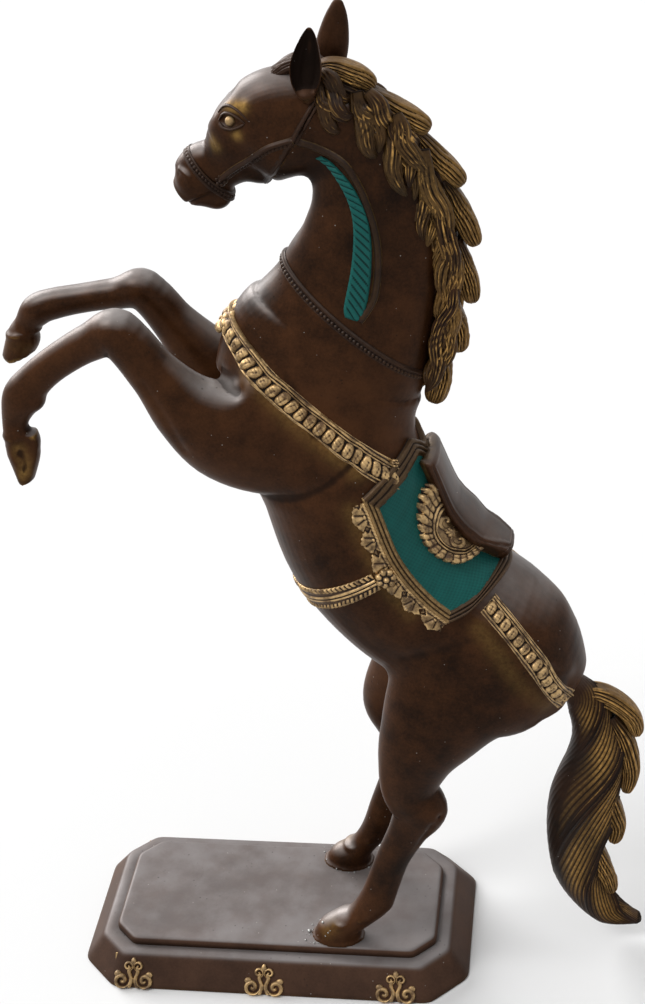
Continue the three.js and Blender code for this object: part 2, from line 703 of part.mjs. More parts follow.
Object.entries(SIDES).forEach(([name, side]) => {
  const inlayAt = (u, v) => {
    const [row, middle, half] = sectionAt(PLUME, u);
    return onSection(NECK, row, side * (middle + half * (2 * v - 1)));
  };
  const inlay = plate(inlayAt, { along: 16, across: 2, high: 1.6 });
  addPart(tack, `neck_inlay_${name}`, cutBy(inlay, [headstallSpace, neckStrapSpace]), TEAL);
  const rimAt = (u, v) => {
    const [row, middle, half] = sectionAt(PLUME, u);
    return onSection(NECK, row, side * (middle + half + mix(2, 8.5, v)));
  };
  const rim = plate(rimAt, { along: 16, across: 1, high: 2 });
  addPart(tack, `inlay_rim_${name}`, cutBy(rim, [headstallSpace, neckStrapSpace]), PATINA);
});

// Ears and hair

const earSpaces = [];
Object.entries(EARS).forEach(([name, rows]) => {
  const ear = casting(rows, { sides: 10, stepsPerRow: 1 });
  earSpaces.push(casting(rows, { sides: 10, stepsPerRow: 1, grow: JOINT_GAP }));
  addPart(body, `ear_${name}`, cutBy(ear, [grownFlesh, headstallSpace]), PATINA);
});
const forelock = casting(FORELOCK, { sides: 10, stepsPerRow: 2 });
const forelockSpace = casting(FORELOCK, { sides: 10, stepsPerRow: 2, grow: JOINT_GAP });
addPart(body, "forelock", cutBy(forelock, [grownFlesh, headstallSpace, ...earSpaces]), HAIR);

// One tuft of hair in the middle plane, from its root to a blunt tip.
function tuft(points, thick, wide) {
  const taper = [1, 1, 0.35];
  return casting(
    points.map(([x, z], k) => [x, 0, z, thick * taper[k], wide * taper[k], 0]),
    LOCK_MESH,
  );
}

// One long lock that lies on the side of the neck.
function sideLock(k, side) {
  const start = 7.3 - k;
  const rows = [0, 0.5, 1].map((t) => {
    const { point } = onSection(NECK, start - 1.5 * t, side * mix(160, 128, t));
    const size = [5, 6, 2][Math.round(2 * t)];
    return [...point.toArray(), size, size, 0];
  });
  return casting(rows, LOCK_MESH);
}

const hair = [casting(MANE_RIDGE, { sides: 8, stepsPerRow: 1 })];
MANE_TUFTS.forEach((points) => hair.push(tuft(points, 8, 9)));
for (let k = 0; k < SIDE_LOCKS; k++) {
  Object.values(SIDES).forEach((side) => hair.push(sideLock(k, side)));
}
const maneCutters = [grownFlesh, headstallSpace, neckStrapSpace, forelockSpace, ...earSpaces];
addPart(body, "mane", cutBy(joined(hair), maneCutters), HAIR);

const tail = [casting(TAIL, { sides: 12, stepsPerRow: 2 })];
TAIL_TUFTS.forEach((points) => tail.push(tuft(points, 9, 10)));
addPart(body, "tail", cutBy(joined(tail), [grownFlesh]), HAIR);

// Base

// One ring of the base at height z, with its corners cut off.
function baseRing(halfX, halfY, cut, z) {
  const quarter = [
    [halfX, halfY - cut],
    [halfX - cut, halfY],
  ];
  const half = [...quarter, ...quarter.map(([x, y]) => [-x, y]).reverse()];
  const corners = [...half, ...half.map(([x, y]) => [-x, -y])];
  return corners.map(([x, y]) => new THREE.Vector3(x, y, z));
}

// The skirt's ring at height z, drawn in by the given amount.
function skirtRing(z, inset) {
  const out = LEDGE + FLARE * (1 - z / SKIRT_HEIGHT) - inset;
  return baseRing(DECK_X + out, DECK_Y + out, DECK_CUT + 0.5 * (out - LEDGE) + 3, z);
}

const hollowTop = SKIRT_HEIGHT - BASE_WALL;
const rib = block([-RIB_HALF, -DECK_Y - 30, -2], [RIB_HALF, DECK_Y + 30, SKIRT_HEIGHT]);
const baseHollow = ringSolid([skirtRing(-1, BASE_WALL), skirtRing(hollowTop, BASE_WALL)]).subtract(rib);
const plinth = ringSolid([skirtRing(0, 0), skirtRing(SKIRT_HEIGHT, 0)]);
addPart(base, "base_plinth", cutBy(plinth, [baseHollow, studHoles]), BASE_PATINA);
const deck = ringSolid([
  baseRing(DECK_X, DECK_Y, DECK_CUT, SKIRT_HEIGHT + JOINT_GAP),
  baseRing(DECK_X, DECK_Y, DECK_CUT, DECK_TOP - 1),
  baseRing(DECK_X - 1, DECK_Y - 1, DECK_CUT - 0.4, DECK_TOP),
]);
addPart(base, "deck_plate", deck.subtract(studHoles), BASE_PATINA);

Object.entries(SIDES).forEach(([name, side]) => {
  const y = side * STUD_Y;
  const bore = rod(STUD_RADIUS + JOINT_GAP, 0, SKIRT_HEIGHT, STUD_X, y);
  const washerTop = hollowTop - JOINT_GAP;
  const nutTop = washerTop - WASHER_HEIGHT - JOINT_GAP;
  const washer = rod(WASHER_RADIUS, washerTop - WASHER_HEIGHT, washerTop, STUD_X, y);
  const nut = rod(NUT_RADIUS, nutTop - NUT_HEIGHT, nutTop, STUD_X, y, 6);
  addPart(base, `hoof_stud_${name}`, rod(STUD_RADIUS, STUD_BOTTOM, STUD_TOP, STUD_X, y), STEEL);
  addPart(base, `stud_washer_${name}`, washer.subtract(bore), STEEL);
  addPart(base, `stud_nut_${name}`, nut.subtract(bore), STEEL);
});

// Scroll ornaments on the skirt

const mirrored = SCROLL_HALF.slice(1, -1).map(([x, y]) => [-x, y]).reverse();
const scrollShape = new THREE.Shape([...SCROLL_HALF, ...mirrored].map(([x, y]) => new THREE.Vector2(x, y)));
const scroll = solidOf(
  new THREE.ExtrudeGeometry(scrollShape, { depth: SCROLL_THICKNESS, bevelEnabled: false }),
);

// Adds a scroll to the wall of the skirt that lies at a distance, after a turn round Z.
function addScroll(name, along, distance, turn) {
  const slope = new THREE.Vector3(0, FLARE, SKIRT_HEIGHT).normalize();
  const across = new THREE.Vector3(1, 0, 0);
  const out = new THREE.Vector3().crossVectors(across, slope);
  const foot = new THREE.Vector3(along, -distance, 0).addScaledVector(out, JOINT_GAP);
  const place = new THREE.Matrix4().makeBasis(across, slope, out).setPosition(foot);
  const mesh = addPart(base, name, scroll, GILT);
  mesh.applyMatrix4(place.premultiply(new THREE.Matrix4().makeRotationZ(turn)));
}
const footY = DECK_Y + LEDGE + FLARE;
SCROLL_PLACES.forEach((x, k) => {
  addScroll(`scroll_front_${k + 1}`, x, footY, 0);
  addScroll(`scroll_back_${k + 1}`, x, footY, Math.PI);
});

export default horse;
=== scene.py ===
"""Looks of a rearing horse in cast brass: brown patina, rubbed gold and teal paint.

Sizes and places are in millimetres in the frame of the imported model, where the horse faces -X and
its left side is -Y. They turn into metres where a mesh is made.
"""
from __future__ import annotations

import logging
import math
from collections.abc import Callable, Iterable, Sequence
from dataclasses import dataclass, field
from enum import Enum
from itertools import product

import bpy
import numpy as np
import openvdb
from mathutils import Matrix, Vector
from mathutils.bvhtree import BVHTree


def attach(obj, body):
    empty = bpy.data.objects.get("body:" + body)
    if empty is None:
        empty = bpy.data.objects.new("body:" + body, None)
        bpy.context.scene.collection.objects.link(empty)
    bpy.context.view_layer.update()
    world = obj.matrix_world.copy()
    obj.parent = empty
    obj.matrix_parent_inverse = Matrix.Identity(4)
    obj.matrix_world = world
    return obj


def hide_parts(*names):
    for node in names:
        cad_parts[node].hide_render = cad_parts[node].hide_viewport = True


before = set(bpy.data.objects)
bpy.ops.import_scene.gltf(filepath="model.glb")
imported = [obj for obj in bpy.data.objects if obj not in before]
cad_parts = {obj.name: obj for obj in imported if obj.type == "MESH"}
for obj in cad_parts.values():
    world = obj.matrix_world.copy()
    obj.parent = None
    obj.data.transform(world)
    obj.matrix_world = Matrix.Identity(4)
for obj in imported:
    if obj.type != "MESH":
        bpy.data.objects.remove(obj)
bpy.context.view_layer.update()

Array = np.ndarray
Row = tuple[float, ...]
Rows = tuple[Row, ...]
Forms = tuple[tuple[Row, Row, float], ...]
Pair = tuple[Array, Array]
Mesh = tuple[Array, list[list[int]]]
Material = bpy.types.Material
MM = 0.001
BODY = "root"
SIDES = {"left": -1, "right": 1}
LEG_NODES = ("foreleg_left", "foreleg_right", "hind_leg_left", "hind_leg_right")
REACH = 85.0
LOG = logging.getLogger("horse")


class Slot(Enum):
    """The record's material slots."""

    PATINA = "patina"
    GILT = "gilt"
    HAIR = "hair"
    ENAMEL = "enamel"
    BASE = "base_patina"
    STEEL = "steel"


# Curves and lofts


def unit(vectors: Array) -> Array:
    """The vectors at length one."""
    return vectors / np.maximum(np.linalg.norm(vectors, axis=-1, keepdims=True), 1e-9)


def spline(rows: Sequence[Row] | Array, t: Array) -> Array:
    """A smooth curve through rows.

    Args:
        rows: the values that the curve passes through, evenly spaced.
        t: fractions of the way from the first row to the last.

    Returns:
        The values at t, one row each.
    """
    table = np.asarray(rows, float)
    t = np.asarray(t, float)
    last = len(table) - 1
    span = np.clip(np.floor(t * last).astype(int), 0, last - 1)
    f = (t * last - span).reshape(t.shape + (1,) * (table.ndim - 1))
    a, b, c, d = (table[np.clip(span + k, 0, last)] for k in (-1, 0, 1, 2))
    slope_b = (c - a) / 2
    slope_c = (d - b) / 2
    cubic = 2 * (b - c) + slope_b + slope_c
    square = 3 * (c - b) - 2 * slope_b - slope_c
    return ((cubic * f + square) * f + slope_b) * f + b


def curve(values: Row, t: Array) -> Array:
    """A smooth curve through single values, at fractions t of the way along it."""
    return spline(np.array(values, float)[:, None], t)[..., 0]


def heading(rows: Sequence[Row], t: Array, step: float = 0.01) -> Array:
    """The directions, of length one, of a smooth curve through rows."""
    return unit(spline(rows, np.minimum(t + step, 1)) - spline(rows, np.maximum(t - step, 0)))


def between(ends: Row, share: Array) -> Array:
    """Values at shares of the way from one end to the other."""
    return ends[0] + (ends[1] - ends[0]) * share


def circle(count: int) -> Array:
    """Angles spaced evenly round a circle."""
    return np.linspace(0, 2 * math.pi, count, endpoint=False)


def grid_quads(rows: int, columns: int, wrap_rows: bool = False, wrap_columns: bool = False) -> Array:
    """The quads of a grid of vertices, as indices.

    Args:
        rows: number of rows.
        columns: number of columns.
        wrap_rows: whether the last row joins the first.
        wrap_columns: whether the last column joins the first.

    Returns:
        An array of four indices per quad.
    """
    across = np.arange(columns if wrap_columns else columns - 1)
    i, j = np.meshgrid(np.arange(rows if wrap_rows else rows - 1), across, indexing="ij")
    next_i = (i + 1) % rows
    next_j = (j + 1) % columns
    corners = (i * columns + j, i * columns + next_j, next_i * columns + next_j, next_i * columns + j)
    return np.stack(corners, -1).reshape(-1, 4)


def capped(rings: int, sides: int) -> list[list[int]]:
    """The faces of a tube of rings, with those that close its two ends last.

    Args:
        rings: number of rings.
        sides: points per ring.

    Returns:
        The faces, as indices.
    """
    faces = grid_quads(rings, sides, wrap_columns=True).tolist()
    faces.append(list(range(sides)))
    faces.append(list(range((rings - 1) * sides, rings * sides))[::-1])
    return faces


@dataclass(frozen=True)
class Loft:
    """A form that runs through elliptical sections.

    Each row is x, y, z, the half depth seen from the side, the half width across the horse and,
    where a section isn't even, how much wider it is on its upper side.
    """

    rows: Rows

    def frames(self, t: Array) -> tuple[Array, Array, Array, Array]:
        """The sections at t, with their tangents, sideways and upward directions.

        Args:
            t: fractions of the way along the loft.

        Returns:
            One row of each per fraction.
        """
        tangent = heading([row[:3] for row in self.rows], t, 0.002)
        side = unit(np.array((0.0, 1.0, 0.0)) - tangent * tangent[..., 1:2])
        return spline(self.rows, t), tangent, side, np.cross(tangent, side)

    def tube(self, steps: int, sides: int, dome: float = 4.0) -> Pair:
        """The closed surface of the loft.

        Args:
            steps: rings per row.
            sides: points per ring.
            dome: how far the rounded ends stand out.

        Returns:
            The vertices and the quads.
        """
        t = np.linspace(0, 1, (len(self.rows) - 1) * steps + 1)
        section, tangent, side, up = self.frames(t)
        turn = np.radians((75, 50, 25))
        rise = np.sin(turn)
        first = -np.sin(turn[:1] * 1.2)
        lead = np.concatenate((first, -rise, np.zeros(len(t)), rise[::-1], (1.0,)))
        shrink = np.concatenate(((0.0,), np.cos(turn), np.ones(len(t)), np.cos(turn[::-1]), (0.0,)))
        pick = np.concatenate((np.zeros(4, int), np.arange(len(t)), np.full(4, len(t) - 1)))
        angle = circle(sides)
        depth = (section[pick, 3] * shrink)[:, None] * np.cos(angle)
        lean = 1.0
        if section.shape[1] > 5:
            lean = 1 + section[pick, 5, None] * np.cos(angle)
        width = (section[pick, 4] * shrink)[:, None] * lean * np.sin(angle)
        centre = section[pick, :3] + tangent[pick] * (lead * dome)[:, None]
        points = centre[:, None] + up[pick][:, None] * depth[..., None]
        points = points + side[pick][:, None] * width[..., None]
        return points.reshape(-1, 3), grid_quads(len(pick), sides, wrap_columns=True)


# The castings, row by row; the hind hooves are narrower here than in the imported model

TRUNK = Loft((
    (14, 0, 419, 18, 16, 0), (31, 0, 403, 37, 32, 0), (46, 0, 379, 46, 41, 0),
    (59, 0, 352, 48, 44, -0.06), (72, 0, 311, 50, 46, -0.1), (91, 0, 281, 50, 45, -0.1),
    (114, 0, 260, 50, 44, -0.06), (141, 0, 244, 46, 44, 0), (165, 0, 226, 36, 37, 0),
    (183, 0, 208, 20, 22, 0),
))
NECK = Loft((
    (45, 0, 402, 55, 34, 0), (53, 0, 424, 56, 33, 0), (64, 0, 441, 51.5, 30, 0),
    (74, 0, 463, 45, 26, 0.06), (81, 0, 488, 39.5, 22.5, 0.1), (83.5, 0, 511, 34.5, 20, 0.1),
    (80.5, 0, 532, 29, 18, 0.06), (74, 0, 550, 22.5, 17, 0), (66, 0, 563, 17, 14, 0),
))
HEAD = Loft((
    (70, 0, 566, 15, 13, 0), (60, 0, 562, 23.5, 17.5, -0.05), (45, 0, 557, 29, 20, -0.05),
    (31, 0, 552, 28.5, 19.5, -0.1), (21, 0, 547.5, 24, 17.5, -0.2), (14, 0, 541, 17.5, 14.5, -0.2),
    (7, 0, 535.5, 14, 12, -0.1), (-1, 0, 531, 15.5, 11.5, 0), (-8, 0, 524, 14, 11.5, 0),
    (-13.5, 0, 520, 9, 9, 0),
))
FORELEG_LEFT = Loft((
    (38, -18, 398, 40, 20), (20, -23, 392, 41, 21), (0, -27, 394.5, 32.5, 19),
    (-18, -29, 407, 22, 16), (-34, -30, 428, 14.5, 12.5), (-51, -30, 451, 13, 12),
    (-67, -30, 447, 10.5, 9.5), (-86, -30, 436, 9.6, 8.5), (-100, -30, 425, 9.8, 8.5),
    (-110, -30, 413, 10.8, 9.5), (-116, -30, 398, 7.2, 7.2), (-115, -30, 385, 8.6, 9.5),
    (-114, -30, 378, 9.2, 10), (-115, -30, 362, 4.5, 8.5),
))
FORELEG_RIGHT = Loft((
    (36, 18, 392, 38, 20), (16, 23, 388, 32, 20), (-4, 27, 390, 24, 18),
    (-20, 29, 409, 19, 15), (-35, 30, 429, 13, 12), (-50, 30, 448, 11.5, 11.5),
    (-68, 30, 447, 8.8, 9), (-88, 30, 444, 8.4, 8.4), (-103, 30, 441, 9, 8.4),
    (-114, 30, 437, 9, 9.2), (-121, 30, 428, 7.4, 7.4), (-125, 30, 421, 8.6, 9.4),
    (-129, 30, 407, 9.8, 10.5),
))
HIND_LEG_LEFT = Loft((
    (150, -22, 252, 40, 18), (139, -25, 232, 47, 21), (119.5, -29, 214, 40.5, 22),
    (102.5, -33, 186, 28, 19), (95, -35, 166, 21, 15.5), (93, -36, 150, 17.5, 13),
    (98, -36, 134, 17.3, 12), (91, -36, 117, 12.3, 10), (81, -36, 95, 10.4, 8.8),
    (74, -36, 74, 10.4, 8.8), (68, -36, 57, 10.6, 9.8), (57, -36, 43, 8.8, 8.8),
    (48.5, -35, 36, 10.3, 10.2), (43.5, -34.2, 27, 15, 11), (42, -34, 17, 16, 11.5),
))
HIND_LEG_RIGHT = Loft((
    (146, 22, 248, 40, 18), (126, 25, 228, 42, 21), (108, 29, 206, 35, 22),
    (90, 33, 181, 29, 19), (81, 35, 162, 24, 15.5), (82, 36, 147, 19.5, 13),
    (89, 36, 133, 16.5, 12), (84, 36, 116, 12.3, 10), (75, 36, 94, 10.4, 8.8),
    (68, 36, 73, 10.4, 8.8), (62, 36, 54.5, 10.2, 9.6), (53.5, 36, 41, 8.4, 8.4),
    (47.5, 36, 33, 9.6, 10.2), (42.5, 36, 25, 14.8, 11.4), (40.5, 36, 16.5, 16, 12),
))


# Meshes and pieces


def vertex_normals(verts: Array, quads: Array) -> Array:
    """Unit normals at the vertices of a mesh of quads.

    Args:
        verts: the vertices.
        quads: four indices per quad.

    Returns:
        One normal per vertex.
    """
    a, b, c, d = (verts[quads[:, k]] for k in range(4))
    face = np.cross(c - a, d - b)
    total = np.zeros_like(verts)
    for k in range(4):
        for axis in range(3):
            total[:, axis] += np.bincount(quads[:, k], face[:, axis], len(verts))
    return unit(total)


def neighbour_mean(values: Array, edges: Array) -> Array:
    """The mean of the values at the vertices that each vertex shares an edge with.

    Args:
        values: one row per vertex.
        edges: two indices per edge.

    Returns:
        The means, one row per vertex.
    """
    ends = np.concatenate((edges, edges[:, ::-1]))
    count = np.maximum(np.bincount(ends[:, 0], minlength=len(values)), 1)
    columns = [np.bincount(ends[:, 0], values[ends[:, 1], k], len(values)) for k in range(values.shape[1])]
    return np.stack(columns, -1) / count[:, None]


def raised_height(mesh: bpy.types.Mesh, passes: int) -> Array:
    """How far each vertex stands above its smoothed surroundings, in millimetres.

    Args:
        mesh: the mesh, in metres.
        passes: how many times the surroundings are smoothed.

    Returns:
        One height per vertex, positive on ridges and negative in grooves.
    """
    count = len(mesh.vertices)
    place = np.empty(count * 3)
    normal = np.empty(count * 3)
    edges = np.empty(len(mesh.edges) * 2, np.int64)
    mesh.vertices.foreach_get("co", place)
    mesh.vertices.foreach_get("normal", normal)
    mesh.edges.foreach_get("vertices", edges)
    place = place.reshape(-1, 3)
    edges = edges.reshape(-1, 2)
    smooth = place
    for _ in range(passes):
        smooth = (smooth + neighbour_mean(smooth, edges)) / 2
    return np.einsum("ij,ij->i", place - smooth, normal.reshape(-1, 3)) / MM


def add_piece(
    name: str,
    verts: Array,
    faces: Iterable[Sequence[int]],
    material: Material,
    slot: Slot,
    replaces: Sequence[str],
    *,
    gold: Array | None = None,
    passes: int = 8,
) -> None:
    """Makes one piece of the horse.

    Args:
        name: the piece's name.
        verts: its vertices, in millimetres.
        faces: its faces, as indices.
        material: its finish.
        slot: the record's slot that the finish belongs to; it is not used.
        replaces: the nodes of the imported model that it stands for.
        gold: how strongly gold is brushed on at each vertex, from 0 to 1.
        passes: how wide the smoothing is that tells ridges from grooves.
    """
    mesh = bpy.data.meshes.new(name)
    mesh.from_pydata((np.asarray(verts) * MM).tolist(), [], [list(f) for f in faces])
    mesh.validate()
    mesh.shade_smooth()
    relief = mesh.attributes.new("relief", "FLOAT", "POINT")
    relief.data.foreach_set("value", raised_height(mesh, passes).astype(np.float32))
    if gold is None:
        gold = np.zeros(len(verts))
    brushed = mesh.attributes.new("gold", "FLOAT", "POINT")
    brushed.data.foreach_set("value", gold.astype(np.float32))
    piece = bpy.data.objects.new(name, mesh)
    bpy.context.scene.collection.objects.link(piece)
    mesh.materials.append(material)
    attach(piece, BODY)
    if replaces:
        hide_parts(*replaces)
    LOG.info("%s: %d vertices", name, len(verts))


# Sculpting the skin


@dataclass(frozen=True)
class Stroke:
    """A ridge, or a groove where the height is negative, along a path on the surface."""

    path: Rows
    radius: float
    height: float
    both_sides: bool = True

    def weight(self, verts: Array) -> Array:
        """How much each vertex is touched, from 0 to 1.

        Args:
            verts: the vertices of the surface.

        Returns:
            One weight per vertex.
        """
        total = np.zeros(len(verts))
        steps = max(2, 8 * (len(self.path) - 1))
        line = spline(self.path, np.linspace(0, 1, steps)) if len(self.path) > 1 else np.array(self.path)
        for flip in (1, -1) if self.both_sides else (1,):
            points = line * (1, flip, 1)
            reach = 2.6 * self.radius
            near = np.all((verts > points.min(0) - reach) & (verts < points.max(0) + reach), axis=1)
            spots = verts[near]
            if not len(spots):
                continue
            best = np.full(len(spots), np.inf)
            for start, end in zip(points, points[1:] if len(points) > 1 else points):
                along = end - start
                share = np.clip((spots - start) @ along / max(along @ along, 1e-9), 0, 1)
                best = np.minimum(best, np.sum((spots - start - share[:, None] * along) ** 2, axis=1))
            total[near] = np.maximum(total[near], np.exp(-best / self.radius**2))
        return total


@dataclass
class Field:
    """Signed distances to a growing form on a grid of voxels."""

    low: Row
    high: Row
    voxel: float
    band: float = 14.0
    start: tuple[int, ...] = field(init=False)
    values: Array = field(init=False)

    def __post_init__(self) -> None:
        """Starts with an empty form."""
        self.start = tuple(int(math.floor(v / self.voxel)) for v in self.low)
        end = [int(math.ceil(v / self.voxel)) for v in self.high]
        shape = [b - a + 1 for a, b in zip(self.start, end)]
        self.values = np.full(shape, self.band, np.float32)

    def join(self, verts: Array, quads: Array, fillet: float) -> None:
        """Adds a closed form, with a fillet where it meets what is there.

        Args:
            verts: the form's vertices.
            quads: its quads.
            fillet: how far the fillet reaches.
        """
        other = np.empty(self.values.shape, np.float32)
        grid = openvdb.FloatGrid.createLevelSetFromPolygons(
            verts.astype(np.float32),
            quads=quads.astype(np.uint32),
            transform=openvdb.createLinearTransform(voxelSize=self.voxel),
            halfWidth=self.band / self.voxel,
        )
        grid.copyToArray(other, ijk=self.start)
        share = np.clip(0.5 + 0.5 * (other - self.values) / fillet, 0, 1)
        self.values = other + (self.values - other) * share - fillet * share * (1 - share)

    def cut(self, point: Row, outward: Row, low: Row | None = None, high: Row | None = None) -> None:
        """Cuts away what lies beyond a plane.

        Args:
            point: a point of the plane.
            outward: the direction that is cut away.
            low: lowest corner of the box that is cut, or the whole form's.
            high: highest corner of that box.
        """
        normal = unit(np.array(outward, float))
        first = [0, 0, 0]
        last = list(self.values.shape)
        if low is not None and high is not None:
            first = [max(0, int(v / self.voxel) - s) for v, s in zip(low, self.start)]
            last = [int(v / self.voxel) - s for v, s in zip(high, self.start)]
        axes = [(np.arange(a, b) + s) * self.voxel for a, b, s in zip(first, last, self.start)]
        x, y, z = np.meshgrid(*axes, indexing="ij", sparse=True)
        beyond = (x - point[0]) * normal[0] + (y - point[1]) * normal[1] + (z - point[2]) * normal[2]
        part = self.values[first[0] : last[0], first[1] : last[1], first[2] : last[2]]
        np.maximum(part, beyond.astype(np.float32), out=part)

    def surface(self) -> Pair:
        """Draws the form's surface.

        Returns:
            The vertices and the quads.
        """
        grid = openvdb.FloatGrid(self.band)
        grid.transform = openvdb.createLinearTransform(voxelSize=self.voxel)
        grid.copyFromArray(self.values, ijk=self.start)
        points, quads = grid.convertToQuads()
        return points.astype(float), quads.astype(np.int64)


@dataclass(frozen=True)
class TiltedPlane:
    """A plane across the horse that a strap lies in: its middle and the way to its front or top."""

    middle: Row
    toward: Row
    reach: float = REACH

    def across(self) -> Array:
        """The direction from one edge of the strap to the other."""
        return np.cross(unit(np.array(self.toward, float)), (0.0, 1.0, 0.0))


COLLAR_PLANE = TiltedPlane((52, 0, 402), (-0.727, 0, 0.687))
NECK_STRAP_PLANE = TiltedPlane((72, 0, 450), (-0.738, 0, 0.675))
HEADSTALL_PLANE = TiltedPlane((49, 0, 554), (0.55, 0, 0.835), 50)
NOSEBAND_PLANE = TiltedPlane((0, 0, 530.5), (-0.64, 0, 0.77), 28)
DECK_TOP = 23.3


@dataclass
class Patch:
    """A grid of points on the horse with the directions out of it, u along its rows."""

    points: Array
    out: Array
    loop: bool = False

    def refine(self, step: float) -> Patch:
        """The same patch with points about a step apart.

        Args:
            step: the distance between points.

        Returns:
            The finer patch, with normals as its directions.
        """
        n, m = self.points.shape[:2]
        both = np.concatenate((self.points, self.out), axis=2)
        rows = max(n, int(np.linalg.norm(np.diff(self.points, axis=0), axis=2).sum(0).max() / step))
        columns = max(m, int(np.linalg.norm(np.diff(self.points, axis=1), axis=2).sum(1).max() / step))
        if self.loop:
            table = np.concatenate((both[-2:], both, both[:3]))
            both = spline(table, (2 + np.arange(rows) / rows * n) / (len(table) - 1))
        else:
            both = spline(both, np.linspace(0, 1, rows))
        both = spline(both.transpose(1, 0, 2), np.linspace(0, 1, columns)).transpose(1, 0, 2)
        points = both[..., :3]
        if self.loop:
            ahead = np.roll(points, -1, 0) - np.roll(points, 1, 0)
        else:
            ahead = np.gradient(points, axis=0)
        normal = unit(np.cross(ahead, np.gradient(points, axis=1)))
        facing = np.sign(np.sum(normal * both[..., 3:]))
        return Patch(points, normal * facing, self.loop)

    def measures(self) -> tuple[Array, Array, float]:
        """Distances along the patch and across it from its middle line, and its length.

        Returns:
            Distances along, distances across and the length.
        """
        middle = self.points[:, self.points.shape[1] // 2]
        steps = np.linalg.norm(np.diff(middle, axis=0), axis=1)
        along = np.concatenate(((0.0,), np.cumsum(steps)))
        across = np.cumsum(np.linalg.norm(np.diff(self.points, axis=1), axis=2), axis=1)
        across = np.concatenate((np.zeros((len(across), 1)), across), axis=1)
        length = along[-1] + (steps.mean() if self.loop else 0)
        return along[:, None] + 0 * across, across - across[:, -1:] / 2, float(length)

    def fractions(self) -> Pair:
        """The fractions u along the patch and v across it."""
        return mesh_grid(*self.points.shape[:2], self.loop)

    def relief(self, height: Array, sink: float = 1.2) -> Mesh:
        """A closed body over the patch.

        Args:
            height: heights of its upper face over the patch.
            sink: how far its lower edge lies under the patch.

        Returns:
            The vertices and the faces.
        """
        n, m = self.points.shape[:2]
        top = self.points + self.out * height[..., None]
        low = self.points - self.out * sink
        faces = grid_quads(n, m, wrap_rows=self.loop).tolist()
        index = np.arange(n * m).reshape(n, m)
        if self.loop:
            a, b = index[:, 0], index[:, -1]
            c, d = n * m + np.arange(2 * n).reshape(2, n)
            verts = np.concatenate((top.reshape(-1, 3), low[:, 0], low[:, -1]))
            for i in range(n):
                k = (i + 1) % n
                faces.append([a[k], a[i], c[i], c[k]])
                faces.append([b[i], b[k], d[k], d[i]])
                faces.append([c[k], c[i], d[i], d[k]])
            return verts, self._facing(verts, faces)
        rim = np.concatenate((index[0], index[1:, -1], index[-1, -2::-1], index[-2:0:-1, 0]))
        foot = np.zeros(n * m, int)
        foot[rim] = n * m + np.arange(len(rim))
        verts = np.concatenate((top.reshape(-1, 3), low.reshape(-1, 3)[rim]))
        faces.extend([b, a, foot[a], foot[b]] for a, b in zip(rim, np.roll(rim, -1)))
        c, d = foot[index[:, 0]], foot[index[:, -1]]
        faces.extend([c[i + 1], d[i + 1], d[i], c[i]] for i in range(n - 1))
        faces.append(list(foot[index[0]]))
        faces.append(list(foot[index[-1]])[::-1])
        return verts, self._facing(verts, faces)

    def _facing(self, verts: Array, faces: list[list[int]]) -> list[list[int]]:
        """The faces turned so that the upper one looks out of the horse.

        Args:
            verts: the vertices.
            faces: the faces, one of the upper ones first.

        Returns:
            The faces.
        """
        a, b, c, _ = (verts[faces[0][k]] for k in range(4))
        if np.dot(np.cross(b - a, c - a), self.out[0, 0]) < 0:
            return [list(reversed(f)) for f in faces]
        return [list(f) for f in faces]


def section_rays(loft: Loft, rows: Array, angles: Array) -> Pair:
    """Rays out of a loft at rows and at angles, in degrees, round it; positive angles go right.

    Args:
        loft: the loft.
        rows: places along it, counted in rows.
        angles: degrees from its upper side, to the right.

    Returns:
        The rays' origins and directions.
    """
    section, _, side, up = loft.frames(rows / (len(loft.rows) - 1))
    turn = np.radians(angles)[..., None]
    return section[..., :3], up * np.cos(turn) + side * np.sin(turn)


def plane_rays(plane: TiltedPlane, angles: Array, across: Array) -> Pair:
    """Rays in a plane across the horse at angles, in degrees, from its front, moved sideways.

    Args:
        plane: the plane.
        angles: degrees from its front.
        across: how far the rays are moved sideways.

    Returns:
        The rays' origins and directions.
    """
    front = unit(np.array(plane.toward, float))
    turn = np.radians(angles)[..., None]
    direction = front * np.cos(turn) + np.array((0.0, 1.0, 0.0)) * np.sin(turn)
    return np.array(plane.middle, float) + plane.across() * across[..., None], direction


def side_rays(path: Rows, along: Array, across: Array, side: int) -> Pair:
    """Rays to one side from a path in the middle plane, given by x and z, moved across the path.

    Args:
        path: points of the path, as x and z.
        along: fractions of the way along it.
        across: how far the rays are moved across it.
        side: -1 for left, 1 for right.

    Returns:
        The rays' origins and directions.
    """
    ahead = heading(path, along)
    spot = spline(path, along)
    x = spot[..., 0] - ahead[..., 1] * across
    z = spot[..., 1] + ahead[..., 0] * across
    origin = np.stack((x, 0 * x, z), -1)
    return origin, np.broadcast_to((0.0, float(side), 0.0), origin.shape)


def hoop(x: float, y: float, z: float, half_x: float, half_y: float, slope: float = 0.0) -> Rows:
    """Points of a level or tilted ring, closed.

    Args:
        x, y, z: its middle.
        half_x, half_y: its half widths.
        slope: its rise along x.

    Returns:
        The points.
    """
    turns = np.linspace(0, 2 * math.pi, 13)
    ahead = half_x * np.cos(turns)
    points = zip(x + ahead, y + half_y * np.sin(turns), z + slope * ahead)
    return tuple(tuple(map(float, point)) for point in points)


